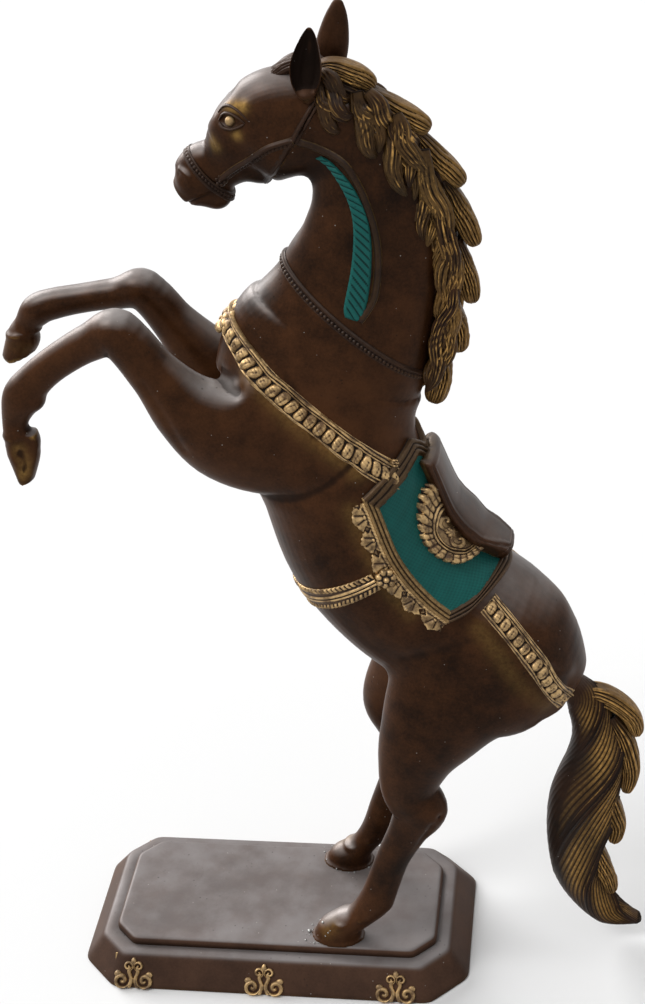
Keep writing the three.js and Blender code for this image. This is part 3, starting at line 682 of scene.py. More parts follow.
BODY_FORMS: Forms = (
    ((-101.5, -30, 411.5), (3.4, 5, 3.6), 5), ((-108.5, -30, 386.5), (4.6, 7.5, 4.8), 4),
    ((-112, 30, 432.5), (3, 4.5, 3), 4), ((-119.5, 30, 419), (4, 8, 5), 4),
    ((108, -36, 135), (5.5, 5, 7), 4), ((97, 36, 136), (5.5, 5, 7), 4),
    ((73.4, -36, 56), (4.8, 6, 4.6), 3), ((67.6, 36, 55), (4.8, 6, 4.6), 3),
    ((-52, -30, 455), (10, 10, 9), 6), ((-52, 30, 452), (9, 9.5, 8), 6),
    ((174, -18, 209), (10, 13, 7.5), 6), ((174, 18, 209), (10, 13, 7.5), 6),
    ((42, -34, 23), (17.4, 11.4, 1.8), 4), ((41, 36, 23), (17.4, 12.6, 1.8), 4),
)
HEAD_FORMS: Forms = (
    ((3, 0, 519), (8.5, 8, 9), 3.5), ((40, -10.5, 551), (17, 10, 18), 5),
    ((40, 10.5, 551), (17, 10, 18), 5), ((-9, -6.5, 528), (6, 5.5, 6), 3.5),
    ((-9, 6.5, 528), (6, 5.5, 6), 3.5), ((29, 0, 533), (10, 8, 8), 5),
)
SOLES: tuple[Rows, ...] = (
    ((-127.4, 30, 408.6), (0.34, 0, -0.94), (-144, 14, 394), (-104, 46, 418)),
    ((-114, -30, 361.5), (0.1, 0, -1), (-130, -46, 350), (-100, -14, 366)),
    ((-112, -37.6, 379), (0.35, -0.93, 0.1), (-126, -48, 363), (-101, -30, 392)),
)
MUSCLES: tuple[Stroke, ...] = (
    Stroke(
        ((17, -25, 352), (29, -36, 354), (41, -41, 358), (54, -43, 365), (65, -40, 373), (72, -37, 379)),
        4.5,
        -1.8,
    ),
    Stroke(((93, -41, 251), (103, -44, 255), (115, -44, 259), (126, -43, 263), (130, -42, 265)), 5, -1.0),
    Stroke(((-1, -14, 421), (5, -30, 421), (11, -35, 420)), 4, -1.6),
    Stroke(((106, -45, 129), (97, -45, 108), (88, -45, 86), (81, -45, 70)), 2.2, -1.1, False),
    Stroke(((95, 45, 129), (90, 45, 108), (82, 45, 86), (75, 45, 70)), 2.2, -1.1, False),
    Stroke(hoop(-115, -30, 390.5, 9.5, 9.5), 1.7, 1.1, False),
    Stroke(hoop(-123.5, 30, 424, 9.5, 9, 0.15), 1.7, 1.0, False),
    Stroke(hoop(52, -36, 43, 10, 11, 0.55), 2.0, 1.1, False),
    Stroke(hoop(50, 36, 43, 10, 11, 0.55), 2.0, 1.1, False),
    Stroke(((-113, -40, 382), (-111, -40, 376), (-113, -39, 370)), 3.6, -1.9, False),
    Stroke(((-38, -42, 428), (-28, -43, 408), (-20, -42, 388)), 3, -0.7),
    Stroke(((111, -43, 134),), 2.4, -1.3, False),
    Stroke(((176, 0, 262),), 14, 3.0, False),
    Stroke(((147, -29, 189),), 14, -2.5, False),
    Stroke(((96, 0, 386), (99, 0, 398), (98, 0, 410)), 11, 2.6, False),
    Stroke(((46, 0, 529), (49, 0, 515), (46, 0, 502)), 9, -2.2, False),
)
FEATURES: tuple[Stroke, ...] = (
    Stroke(((13, -14, 562.5), (20, -15.5, 562.5)), 3.6, -1.5),
    Stroke(((10, -13, 571), (17, -14.5, 573), (25, -15.5, 571)), 3.4, 0.3),
    Stroke(((12, 0, 573), (7, 0, 566.5), (5, 0, 561)), 6.5, -2.4, False),
    Stroke(((6, 0, 557), (2, 0, 553.5)), 5.5, 1.1, False),
    Stroke(((-3, 0, 549), (-8, 0, 543.5)), 5, -0.1, False),
    Stroke(((20, 0, 529), (32, 0, 525), (46, 0, 526)), 7, 0.9, False),
    Stroke(((40, 0, 526), (48, 0, 526)), 6, 1.8, False),
    Stroke(((-13, -4, 514), (-8, -9, 517), (-2, -11, 520), (4, -11, 522)), 1.5, -1.5),
    Stroke(((-13, -7.5, 531.5), (-11, -9.5, 529)), 1.7, -1.7),
    Stroke(((-14, -8, 535), (-9, -11.5, 532), (-8, -11, 527)), 1.6, 0.8),
    Stroke(((10, -13, 553), (20, -18, 549), (28, -20, 544)), 4.5, -0.7),
    Stroke(((46, -19, 549), (45, -17, 541), (44, -11, 532)), 1.0, -0.6),
)
WASHES: tuple[tuple[Stroke, float], ...] = (
    (Stroke(((15, -13, 570), (23, -15.5, 570)), 3.4, 0), 1.0),
    (Stroke(((20, -18, 556),), 2.8, 0), 0.75),
    (Stroke(((6, -11.5, 551), (8, -12.5, 549)), 3, 0), 0.75),
    (Stroke(((17, -28, 430), (31, -36, 416), (43, -36, 401), (59, -38, 388), (73, -38, 374)), 6, 0), 0.42),
    (Stroke(((137, -39, 272), (148, -42, 256), (160, -41, 235), (174, -35, 216)), 5.5, 0), 0.24),
    (Stroke(((69, -44, 352), (75, -46, 332), (86, -46, 305), (99, -45, 285)), 5, 0), 0.3),
    (Stroke(((-113, -40, 384), (-111, -40, 376), (-113, -39, 369)), 4, 0, False), 0.85),
    (Stroke(((42, -40, 37), (37, -40, 32)), 4.5, 0), 0.45),
    (Stroke(((-133, 27, 418), (-120, 22, 416)), 5, 0, False), 0.14),
)


@dataclass
class Skin:
    """The smooth skin of the horse, which the tack is laid on."""

    voxel: float = 1.3
    head_voxel: float = 0.7
    fillet: float = 8.0
    low: Row = (-145, -76, 20)
    high: Row = (240, 76, 592)
    throat: float = 500.0
    head_low: Row = (-27, -27, 498)
    head_high: Row = (90, 27, 594)
    body_forms: Forms = BODY_FORMS
    head_forms: Forms = HEAD_FORMS
    soles: tuple[Rows, ...] = SOLES
    muscles: tuple[Stroke, ...] = MUSCLES
    features: tuple[Stroke, ...] = FEATURES
    washes: tuple[tuple[Stroke, float], ...] = WASHES
    tree: BVHTree = field(init=False)

    def build(self, finish: Material) -> None:
        """Makes the skins of the body and of the head, which meet under the headstall.

        Args:
            finish: the finish of both.
        """
        seam = HEADSTALL_PLANE.across()
        body = Field(self.low, self.high, self.voxel)
        for casting in (TRUNK, NECK, HEAD, FORELEG_LEFT, FORELEG_RIGHT, HIND_LEG_LEFT, HIND_LEG_RIGHT):
            body.join(*casting.tube(6, 56, 2.5), self.fillet)
        for centre, radii, fillet in self.body_forms:
            body.join(*ball(centre, radii), fillet)
        body.cut((0, 0, DECK_TOP - 0.2), (0, 0, -1))
        body.cut(HEADSTALL_PLANE.middle, tuple(seam), (*self.low[:2], self.throat), self.high)
        for point, outward, low, high in self.soles:
            body.cut(point, outward, low, high)
        head = Field(self.head_low, self.head_high, self.head_voxel, 10)
        for casting in (NECK, HEAD):
            head.join(*casting.tube(8, 64, 3), self.fillet)
        for centre, radii, fillet in self.head_forms:
            head.join(*ball(centre, radii), fillet)
        head.cut(tuple(np.array(HEADSTALL_PLANE.middle) - 0.3 * seam), tuple(-seam))
        trees = []
        for name, form, strokes, nodes in (
            ("body_skin", body, self.muscles, ("trunk", "neck", *LEG_NODES)),
            ("head_skin", head, self.features, ("head",)),
        ):
            verts, quads = form.surface()
            normals = vertex_normals(verts, quads)
            shift = sum((s.height * s.weight(verts) for s in strokes), np.zeros(len(verts)))
            verts = verts + normals * shift[:, None]
            gold = np.zeros(len(verts))
            for stroke, strength in self.washes:
                gold = np.maximum(gold, strength * stroke.weight(verts))
            add_piece(name, verts, quads, finish, Slot.PATINA, nodes, gold=gold, passes=24)
            trees.append((verts, quads))
        count = len(trees[0][0])
        self.tree = BVHTree.FromPolygons(
            np.concatenate([verts for verts, _ in trees]).tolist(),
            np.concatenate((trees[0][1], trees[1][1] + count)).tolist(),
        )

    def hit(self, origin: Array, direction: Array, reach: float) -> Array:
        """The point of the skin farthest along a ray.

        Args:
            origin: where the ray starts, inside the horse.
            direction: its direction, of length one.
            reach: how far out the search starts.

        Returns:
            The point, or one on the ray where there is no skin.
        """
        ray = Vector(direction)
        found = self.tree.ray_cast(Vector(origin) + ray * reach, -ray, reach)[0]
        return np.array(found if found is not None else Vector(origin) + ray * reach * 0.4)

    def beside(self, x: float, z: float, side: int, reach: float) -> Array:
        """The outermost point of the skin to one side of a spot in the middle plane."""
        return self.hit(np.array((x, 0.0, z)), np.array((0.0, side, 0.0)), reach)

    def patch(self, rays: Pair, step: float, reach: float = REACH, loop: bool = False) -> Patch:
        """The patch of skin that a grid of rays meets, refined to a step.

        Args:
            rays: the grid of origins and directions.
            step: the distance between the patch's points.
            reach: how far out the search starts.
            loop: whether its last row joins the first.

        Returns:
            The patch.
        """
        origins, directions = rays
        points = np.empty(origins.shape)
        for spot in np.ndindex(origins.shape[:2]):
            points[spot] = self.hit(origins[spot], directions[spot], reach)
        return Patch(points, np.array(directions), loop).refine(step)


def ball(centre: Row, radii: Row, rings: int = 16) -> Pair:
    """A closed ball, stretched by its three radii.

    Args:
        centre: its middle.
        radii: its radii.
        rings: steps from end to end.

    Returns:
        The vertices and the quads.
    """
    rise = np.linspace(-math.pi / 2, math.pi / 2, rings + 1)
    turn = circle(2 * rings)
    x = np.cos(rise)[:, None] * np.cos(turn)
    y = np.cos(rise)[:, None] * np.sin(turn)
    z = np.sin(rise)[:, None] + 0 * turn
    points = np.stack((x, y, z), -1).reshape(-1, 3) * radii + centre
    return points, grid_quads(rings + 1, 2 * rings, wrap_columns=True)


def mesh_grid(along: int, across: int, loop: bool = False) -> Pair:
    """Fractions u and v of a grid of rays."""
    u = np.linspace(0, 1, along, endpoint=not loop)
    return np.meshgrid(u, np.linspace(0, 1, across), indexing="ij")


# Relief profiles, as heights over a patch


def bulge(x: Array, half: float) -> Array:
    """A round swelling of height one over a half width."""
    return np.sqrt(np.clip(1 - (x / half) ** 2, 0, None))


def mound(a: Array, b: Array) -> Array:
    """A round mound of height one, as far as a and b reach one."""
    return np.sqrt(np.clip(1 - a**2 - b**2, 0, None))


def beat(x: Array, pitch: float) -> Array:
    """The distance from the middle of the nearest of evenly spaced beads."""
    return np.mod(x, pitch) - pitch / 2


def rope(s: Array, w: Array, middle: float, half: float, pitch: float, slant: float = 0.8) -> Array:
    """A twisted cord of height one along a patch."""
    strands = 0.62 + 0.38 * np.abs(np.cos(math.pi * (s + slant * (w - middle)) / pitch))
    return bulge(w - middle, half) * strands


def ripple(s: Array, w: Array, size: float, seed: float) -> Array:
    """Small uneven waves, as left by a hand-cut mould."""
    a = np.sin(s / size + seed) * np.cos(1.3 * w / size - 2 * seed)
    return 0.5 * (a + np.sin(1.7 * s / size - w / size + 3 * seed))


# Finishes

Socket = bpy.types.NodeSocket
Sockets = dict[str, Socket]
Feeds = dict[str | int, object]
Colour = tuple[float, float, float]
# Colour of the darkened grooves: dark patina, and painted shade.
GROOVE_PATINA_AND_SHADE = (0.012, 0.007, 0.005)
PIT = (0.01, 0.007, 0.005)
PAINTED_PIT = (0.01, 0.012, 0.01)
SPECK = (0.6, 0.55, 0.5)


def srgb(red: float, green: float, blue: float) -> Colour:
    """The linear colour of an sRGB one given from 0 to 255."""
    return tuple(((v / 255 + 0.055) / 1.055) ** 2.4 for v in (red, green, blue))


class Nodes:
    """A node tree, with short calls that add nodes and join them."""

    def __init__(self, tree: bpy.types.NodeTree) -> None:
        """Works on a tree."""
        self.tree = tree

    def add(self, kind: str, inputs: Feeds | None = None, **settings: object) -> bpy.types.Node:
        """Adds a node.

        Args:
            kind: the node's type.
            inputs: links or plain values for its inputs, by name or number.
            **settings: its other settings.

        Returns:
            The node.
        """
        node = self.tree.nodes.new(kind)
        for name, value in settings.items():
            setattr(node, name, value)
        for key, value in (inputs or {}).items():
            self.feed(node.inputs[key], value)
        return node

    def feed(self, target: Socket, value: object) -> None:
        """Gives an input a link or a plain value.

        Args:
            target: the input.
            value: an output to link to it, or its value.
        """
        if isinstance(value, bpy.types.NodeSocket):
            self.tree.links.new(value, target)
        elif isinstance(value, tuple) and len(value) == 3 and target.type == "RGBA":
            target.default_value = (*value, 1)
        else:
            target.default_value = value

    def noise(self, vector: Socket, scale: float | Socket, detail: float = 3, rough: float = 0.55) -> Socket:
        """Soft noise from 0 to 1."""
        inputs = {"Vector": vector, "Scale": scale, "Detail": detail, "Roughness": rough}
        return self.add("ShaderNodeTexNoise", inputs).outputs["Fac"]

    def cells(self, vector: Socket, scale: float) -> bpy.types.Node:
        """Scattered points, with the distance to the nearest and its colour."""
        return self.add("ShaderNodeTexVoronoi", {"Vector": vector, "Scale": scale})

    def math(self, operation: str, *values: object, clamp: bool = False) -> Socket:
        """The result of a sum of two or three values."""
        inputs = dict(enumerate(values))
        return self.add("ShaderNodeMath", inputs, operation=operation, use_clamp=clamp).outputs[0]

    def ramp(self, value: Socket, low: object, high: object, start: float = 0, end: float = 1) -> Socket:
        """A smooth step of a value between two limits."""
        limits = {"Value": value, "From Min": low, "From Max": high, "To Min": start, "To Max": end}
        return self.add("ShaderNodeMapRange", limits, interpolation_type="SMOOTHSTEP").outputs["Result"]

    def mix(self, share: object, a: object, b: object) -> Socket:
        """A mix of two colours."""
        return self.add("ShaderNodeMix", {0: share, 6: a, 7: b}, data_type="RGBA").outputs[2]

    def attribute(self, name: str) -> Socket:
        """A value stored at the vertices."""
        return self.add("ShaderNodeAttribute", attribute_name=name).outputs["Fac"]

    def place(self) -> Socket:
        """Places in the model's frame, in metres."""
        return self.add("ShaderNodeTexCoord").outputs["Object"]


@dataclass
class Effect:
    """A shader node group that several finishes share."""

    name: str
    inputs: dict[str, str]
    outputs: dict[str, str]
    draw: Callable[[Nodes, Sockets], Sockets]

    def tree(self) -> bpy.types.NodeTree:
        """The group's tree, made on its first use.

        Returns:
            The tree.
        """
        if self.name in bpy.data.node_groups:
            return bpy.data.node_groups[self.name]
        tree = bpy.data.node_groups.new(self.name, "ShaderNodeTree")
        for direction, sockets in (("INPUT", self.inputs), ("OUTPUT", self.outputs)):
            for name, kind in sockets.items():
                tree.interface.new_socket(name=name, in_out=direction, socket_type="NodeSocket" + kind)
        nodes = Nodes(tree)
        entry = nodes.add("NodeGroupInput")
        end = nodes.add("NodeGroupOutput")
        made = self.draw(nodes, {name: entry.outputs[name] for name in self.inputs})
        for name, socket in made.items():
            tree.links.new(socket, end.inputs[name])
        return tree

    def use(self, nodes: Nodes, **settings: object) -> bpy.types.Node:
        """Adds the group to a material, with its inputs given by name."""
        return nodes.add("ShaderNodeGroup", settings, node_tree=self.tree())


def draw_clouds(nodes: Nodes, entry: Sockets) -> Sockets:
    """Brown that drifts between two tones in clouds of several sizes.

    Args:
        nodes: the group's nodes.
        entry: the group's inputs, by name.

    Returns:
        The group's outputs, by name.
    """
    place = nodes.place()
    broad = nodes.noise(place, 14, 4, 0.6)
    middle = nodes.noise(place, 70, 4, 0.6)
    fine = nodes.noise(place, 620, 3, 0.7)
    share = nodes.math("MULTIPLY_ADD", middle, 0.32, nodes.math("MULTIPLY", broad, 0.55))
    share = nodes.math("MULTIPLY_ADD", fine, 0.2, share)
    return {"Color": nodes.mix(nodes.ramp(share, 0.32, 0.76), entry["Deep"], entry["Warm"]), "Cloud": share}


def draw_rubbing(nodes: Nodes, entry: Sockets) -> Sockets:
    """Gold rubbed on raised work and brushed on by hand, and the grooves darkened: dark patina left there,
    deepened with painted shade.

    Args:
        nodes: the group's nodes.
        entry: the group's inputs, by name.

    Returns:
        The group's outputs, by name.
    """
    place = nodes.place()
    relief = nodes.attribute("relief")
    patchy = nodes.ramp(nodes.noise(place, 150, 4, 0.65), 0.28, 0.62)
    raised = nodes.math("MULTIPLY", nodes.ramp(relief, entry["Low"], entry["High"]), patchy)
    streaks = nodes.ramp(nodes.noise(place, 420, 3, 0.7), 0.3, 0.7)
    brushed = nodes.math("MULTIPLY", nodes.attribute("gold"), nodes.math("MULTIPLY_ADD", streaks, 0.5, 0.5))
    # Grooves are darkened: dark patina, and painted shade.
    groove = nodes.ramp(relief, -0.03, -0.4)
    kept = nodes.math("MULTIPLY_ADD", groove, -0.9, 1.0)
    brushed = nodes.math("MULTIPLY", brushed, kept)
    mask = nodes.math("MULTIPLY", nodes.math("MAXIMUM", raised, brushed), entry["Strength"], clamp=True)
    dark = nodes.mix(nodes.math("MULTIPLY", groove, entry["Soot"]), entry["Color"], GROOVE_PATINA_AND_SHADE)
    worn = nodes.mix(0.45, entry["Gold"], entry["Color"])
    tone = nodes.mix(nodes.noise(place, 90, 3), entry["Gold"], worn)
    return {"Color": nodes.mix(mask, dark, tone), "Mask": mask, "Groove": groove}


def draw_flaws(nodes: Nodes, entry: Sockets) -> Sockets:
    """Pits, scratches and pale specks of an old casting, and their relief.

    Args:
        nodes: the group's nodes.
        entry: the group's inputs, by name.

    Returns:
        The group's outputs, by name.
    """
    place = nodes.place()
    pits = nodes.cells(place, 240)
    rare = nodes.ramp(nodes.noise(place, 45, 2), 0.52, 0.66)
    pit = nodes.math("MULTIPLY", nodes.ramp(pits.outputs["Distance"], 0.2, 0.06), rare)
    specks = nodes.cells(place, 330)
    chosen = nodes.math("GREATER_THAN", specks.outputs["Color"], 0.83)
    speck = nodes.math("MULTIPLY", nodes.ramp(specks.outputs["Distance"], 0.13, 0.07), chosen)
    grain = nodes.noise(place, 900, 3, 0.6)
    swell = nodes.noise(place, 60, 3, 0.5)
    height = nodes.math("SUBTRACT", nodes.math("MULTIPLY", grain, 0.12), nodes.math("MULTIPLY", pit, 0.5))
    height = nodes.math("ADD", height, nodes.math("MULTIPLY", swell, 0.5))
    amount = entry["Amount"]
    return {
        "Pits": nodes.math("MULTIPLY", pit, amount),
        "Specks": nodes.math("MULTIPLY", speck, amount),
        "Height": nodes.math("MULTIPLY", height, amount),
    }


def draw_dust_and_sheen(nodes: Nodes, entry: Sockets) -> Sockets:
    """A grey bloom on faces that look up: dust, with a painted sheen standing in for the light those faces
    catch.

    Args:
        nodes: the group's nodes.
        entry: the group's inputs, by name.

    Returns:
        The group's outputs, by name.
    """
    normal = nodes.add("ShaderNodeNewGeometry").outputs["Normal"]
    split = nodes.add("ShaderNodeSeparateXYZ", {0: normal})
    # Faces that look up are made paler: dust, and a painted sheen.
    up = nodes.ramp(split.outputs["Z"], entry["Low"], entry["High"])
    place = nodes.place()
    fine = nodes.math("MULTIPLY", nodes.noise(place, 48, 5, 0.65), 0.4)
    drift = nodes.math("MULTIPLY_ADD", nodes.noise(place, 12, 3, 0.5), 0.6, fine)
    patchy = nodes.ramp(drift, 0.34, 0.66, 0.5, 1.0)
    mask = nodes.math("MULTIPLY", nodes.math("MULTIPLY", up, patchy), entry["Amount"], clamp=True)
    return {"Color": nodes.mix(mask, entry["Color"], entry["Tint"]), "Mask": mask}


CLOUDS = Effect(
    "cloudy_patina", {"Deep": "Color", "Warm": "Color"}, {"Color": "Color", "Cloud": "Float"}, draw_clouds
)
RUBBING = Effect(
    "rubbed_gold",
    {"Color": "Color", "Gold": "Color"} | dict.fromkeys(("Low", "High", "Strength", "Soot"), "Float"),
    {"Color": "Color", "Mask": "Float", "Groove": "Float"},
    draw_rubbing,
)
FLAWS = Effect(
    "casting_flaws",
    {"Amount": "Float"},
    {"Pits": "Float", "Specks": "Float", "Height": "Float"},
    draw_flaws,
)
DUST_AND_SHEEN = Effect(
    "dust_and_painted_sheen",
    {"Color": "Color", "Tint": "Color", "Amount": "Float", "Low": "Float", "High": "Float"},
    {"Color": "Color", "Mask": "Float"},
    draw_dust_and_sheen,
)


def new_material(name: str) -> tuple[Material, Nodes, bpy.types.Node]:
    """Makes a material.

    Args:
        name: its name.

    Returns:
        The material, its nodes and its shader.
    """
    material = bpy.data.materials.new(name)
    material.use_nodes = True
    return material, Nodes(material.node_tree), material.node_tree.nodes["Principled BSDF"]


@dataclass(frozen=True)
class MetalFinish:
    """Patinated brass: a cloudy brown with gold rubbed over what stands out."""

    name: str
    deep: Colour
    warm: Colour
    gold: Colour = srgb(164, 130, 72)
    low: float = 0.1
    high: float = 0.45
    strength: float = 0.9
    # How dark the grooves turn: dark patina, and painted shade.
    groove_patina_shade: float = 0.7
    roughness: float = 0.42
    metallic: float = 0.25
    flaws: float = 0.5
    specular: float = 0.3
    # The pale grey on faces that look up: dust, and a painted sheen.
    dust_and_sheen: float = 0.6
    dust_and_sheen_low: float = 0.35
    dust_and_sheen_high: float = 1.0
    dust_and_sheen_tint: Colour = srgb(120, 110, 104)

    def build(self) -> Material:
        """Makes the material.

        Returns:
            The material.
        """
        material, nodes, shader = new_material(self.name)
        clouds = CLOUDS.use(nodes, Deep=self.deep, Warm=self.warm)
        # Dust and a painted sheen on faces that look up.
        dusted_and_sheened = DUST_AND_SHEEN.use(
            nodes, Color=clouds.outputs["Color"], Tint=self.dust_and_sheen_tint, Amount=self.dust_and_sheen,
            Low=self.dust_and_sheen_low, High=self.dust_and_sheen_high,
        )
        shader.inputs["Specular IOR Level"].default_value = self.specular
        rubbed = RUBBING.use(
            nodes, Color=dusted_and_sheened.outputs["Color"], Gold=self.gold, Low=self.low, High=self.high,
            Strength=self.strength, Soot=self.groove_patina_shade,
        )
        flaws = FLAWS.use(nodes, Amount=self.flaws)
        pitted = nodes.mix(flaws.outputs["Pits"], rubbed.outputs["Color"], PIT)
        nodes.feed(shader.inputs["Base Color"], nodes.mix(flaws.outputs["Specks"], pitted, SPECK))
        rough = nodes.math("MULTIPLY_ADD", clouds.outputs["Cloud"], 0.22, self.roughness - 0.1)
        rough = nodes.math("MULTIPLY_ADD", rubbed.outputs["Groove"], 0.25, rough)
        nodes.feed(shader.inputs["Roughness"], rough)
        metallic = nodes.math("MULTIPLY_ADD", rubbed.outputs["Mask"], 0.5, self.metallic, clamp=True)
        nodes.feed(shader.inputs["Metallic"], metallic)
        bumps = {"Strength": 0.5, "Distance": 0.0006, "Height": flaws.outputs["Height"]}
        nodes.feed(shader.inputs["Normal"], nodes.add("ShaderNodeBump", bumps).outputs["Normal"])
        return material


@dataclass(frozen=True)
class EnamelFinish:
    """Matt paint laid thinly over relief, darker in the grooves as painted shade."""

    name: str
    paint: Colour
    # The colour in the grooves: painted shade.
    shade: Colour
    roughness: float = 0.5

    def build(self) -> Material:
        """Makes the material.

        Returns:
            The material.
        """
        material, nodes, shader = new_material(self.name)
        place = nodes.place()
        relief = nodes.attribute("relief")
        uneven = nodes.math("MULTIPLY", nodes.noise(place, 110, 4, 0.6), 0.3)
        # Darker paint in the grooves: painted shade.
        share = nodes.math("SUBTRACT", nodes.ramp(relief, -0.3, 0.1), uneven, clamp=True)
        shader.inputs["Specular IOR Level"].default_value = 0.15
        flaws = FLAWS.use(nodes, Amount=0.4)
        paint = nodes.mix(share, self.shade, self.paint)
        nodes.feed(shader.inputs["Base Color"], nodes.mix(flaws.outputs["Pits"], paint, PAINTED_PIT))
        rough = nodes.math("MULTIPLY_ADD", nodes.noise(place, 300, 3), 0.2, self.roughness - 0.1)
        nodes.feed(shader.inputs["Roughness"], rough)
        bumps = {"Strength": 0.4, "Distance": 0.0004, "Height": flaws.outputs["Height"]}
        nodes.feed(shader.inputs["Normal"], nodes.add("ShaderNodeBump", bumps).outputs["Normal"])
        return material


@dataclass
class Palette:
    """The finishes of the horse, made once."""

    # Faces that look up on the body, the seat and the deck get a pale grey: dust, and a painted sheen.
    body: MetalFinish = MetalFinish(
        "patina_body", srgb(24, 13, 6), srgb(84, 52, 30), gold=srgb(184, 146, 80), low=0.75, high=2.1,
        strength=0.8, roughness=0.36, specular=0.07, metallic=0.2, dust_and_sheen=0.86, dust_and_sheen_low=0.42,
        dust_and_sheen_tint=srgb(168, 162, 159),
    )
    # Finish of the ears, whose hollows are darkened nearly to black: dark patina, and painted shade.
    plain: MetalFinish = MetalFinish(
        "patina_plain", srgb(24, 14, 8), srgb(78, 50, 32), low=1.5, high=4.0, strength=0.2, groove_patina_shade=0.97,
        specular=0.05, metallic=0.2, flaws=0.2, dust_and_sheen=0.06,
    )
    seat: MetalFinish = MetalFinish(
        "patina_seat", srgb(26, 14, 7), srgb(84, 53, 32), low=1.2, high=3.0, strength=0.3, groove_patina_shade=0.8,
        roughness=0.36, specular=0.14, metallic=0.2, dust_and_sheen=0.42, dust_and_sheen_low=0.4,
        dust_and_sheen_tint=srgb(140, 132, 127),
    )
    tack: MetalFinish = MetalFinish(
        "patina_tack", srgb(26, 15, 9), srgb(66, 42, 26), low=0.2, high=0.8, strength=0.4, groove_patina_shade=0.8,
        specular=0.16, dust_and_sheen=0.35,
    )
    border: MetalFinish = MetalFinish(
        "patina_border", srgb(30, 17, 9), srgb(66, 41, 22), gold=srgb(176, 144, 96), low=0.5, high=1.2,
        groove_patina_shade=0.95, specular=0.18, dust_and_sheen=0.2,
    )
    gilt: MetalFinish = MetalFinish(
        "rubbed_gilt", srgb(46, 28, 15), srgb(92, 63, 35), gold=srgb(212, 178, 126), low=-0.18,
        high=0.18, strength=1.0, metallic=0.3, dust_and_sheen=0.15, groove_patina_shade=0.97, specular=0.35,
    )
    hair: MetalFinish = MetalFinish(
        "rubbed_hair", srgb(20, 11, 5), srgb(60, 35, 16), gold=srgb(216, 168, 96), low=0.16, high=0.55,
        strength=0.95, groove_patina_shade=0.97, specular=0.16, dust_and_sheen=0.2,
    )
    stand: MetalFinish = MetalFinish(
        "patina_base", srgb(48, 31, 22), srgb(80, 56, 42), low=0.8, high=2.0, strength=0.15,
        roughness=0.5, specular=0.16, dust_and_sheen=0.92, dust_and_sheen_low=0.66, dust_and_sheen_high=0.96,
        dust_and_sheen_tint=srgb(129, 124, 123),
    )
    steel: MetalFinish = MetalFinish(
        "zinc_steel", srgb(120, 120, 118), srgb(165, 165, 162), gold=srgb(190, 190, 188), strength=0.3,
        groove_patina_shade=0.2, metallic=0.9, dust_and_sheen=0.1,
    )
    enamel: EnamelFinish = EnamelFinish("teal_enamel", srgb(33, 108, 102), srgb(12, 50, 47))
    made: dict[str, Material] = field(default_factory=dict)

    def get(self, finish: str) -> Material:
        """The material of a finish, made on its first use.

        Args:
            finish: the name of its field.

        Returns:
            The material.
        """
        if finish not in self.made:
            self.made[finish] = getattr(self, finish).build()
        return self.made[finish]


# Tack


@dataclass
class Ornament:
    """Small cast work that is set on the skin at one point."""

    centre: Array
    out: Array
    radius: float
    height: float
    petals: int

    def mesh(self, rings: int = 14, turns: int = 48) -> Mesh:
        """A boss with petals round it.

        Args:
            rings: steps from its edge to its middle.
            turns: steps round it.

        Returns:
            The mesh.
        """
        normal = unit(self.out)
        side = unit(np.cross(normal, (0.31, 0.2, 0.93)))
        across = np.cross(normal, side)
        r, turn = np.meshgrid(np.linspace(1, 0, rings), circle(turns), indexing="ij")
        lobe = np.abs(np.cos(self.petals * turn / 2))
        reach = self.radius * r * (1 - 0.2 * (1 - lobe) * r)
        petal = 0.62 * bulge(r - 0.66, 0.36) * (0.45 + 0.55 * lobe)
        rise = np.maximum(petal, bulge(r, 0.34)) * self.height
        flat = side * np.cos(turn)[..., None] + across * np.sin(turn)[..., None]
        points = self.centre + flat * reach[..., None] + normal * rise[..., None]
        foot = self.centre + flat[:1] * reach[:1, :, None] - normal * 1.5
        verts = np.concatenate((foot, points)).reshape(-1, 3)
        faces = grid_quads(rings + 1, turns, wrap_columns=True).tolist()
        faces.append(list(range(turns))[::-1])
        return verts, faces


def merge(*meshes: tuple[Array, Iterable[Sequence[int]]]) -> Mesh:
    """Several closed bodies as one mesh.

    Args:
        *meshes: the bodies.

    Returns:
        The mesh.
    """
    verts: list[Array] = []
    faces: list[list[int]] = []
    count = 0
    for points, shape in meshes:
        verts.append(np.asarray(points))
        faces.extend([[int(v) + count for v in face] for face in shape])
        count += len(points)
    return np.concatenate(verts), faces


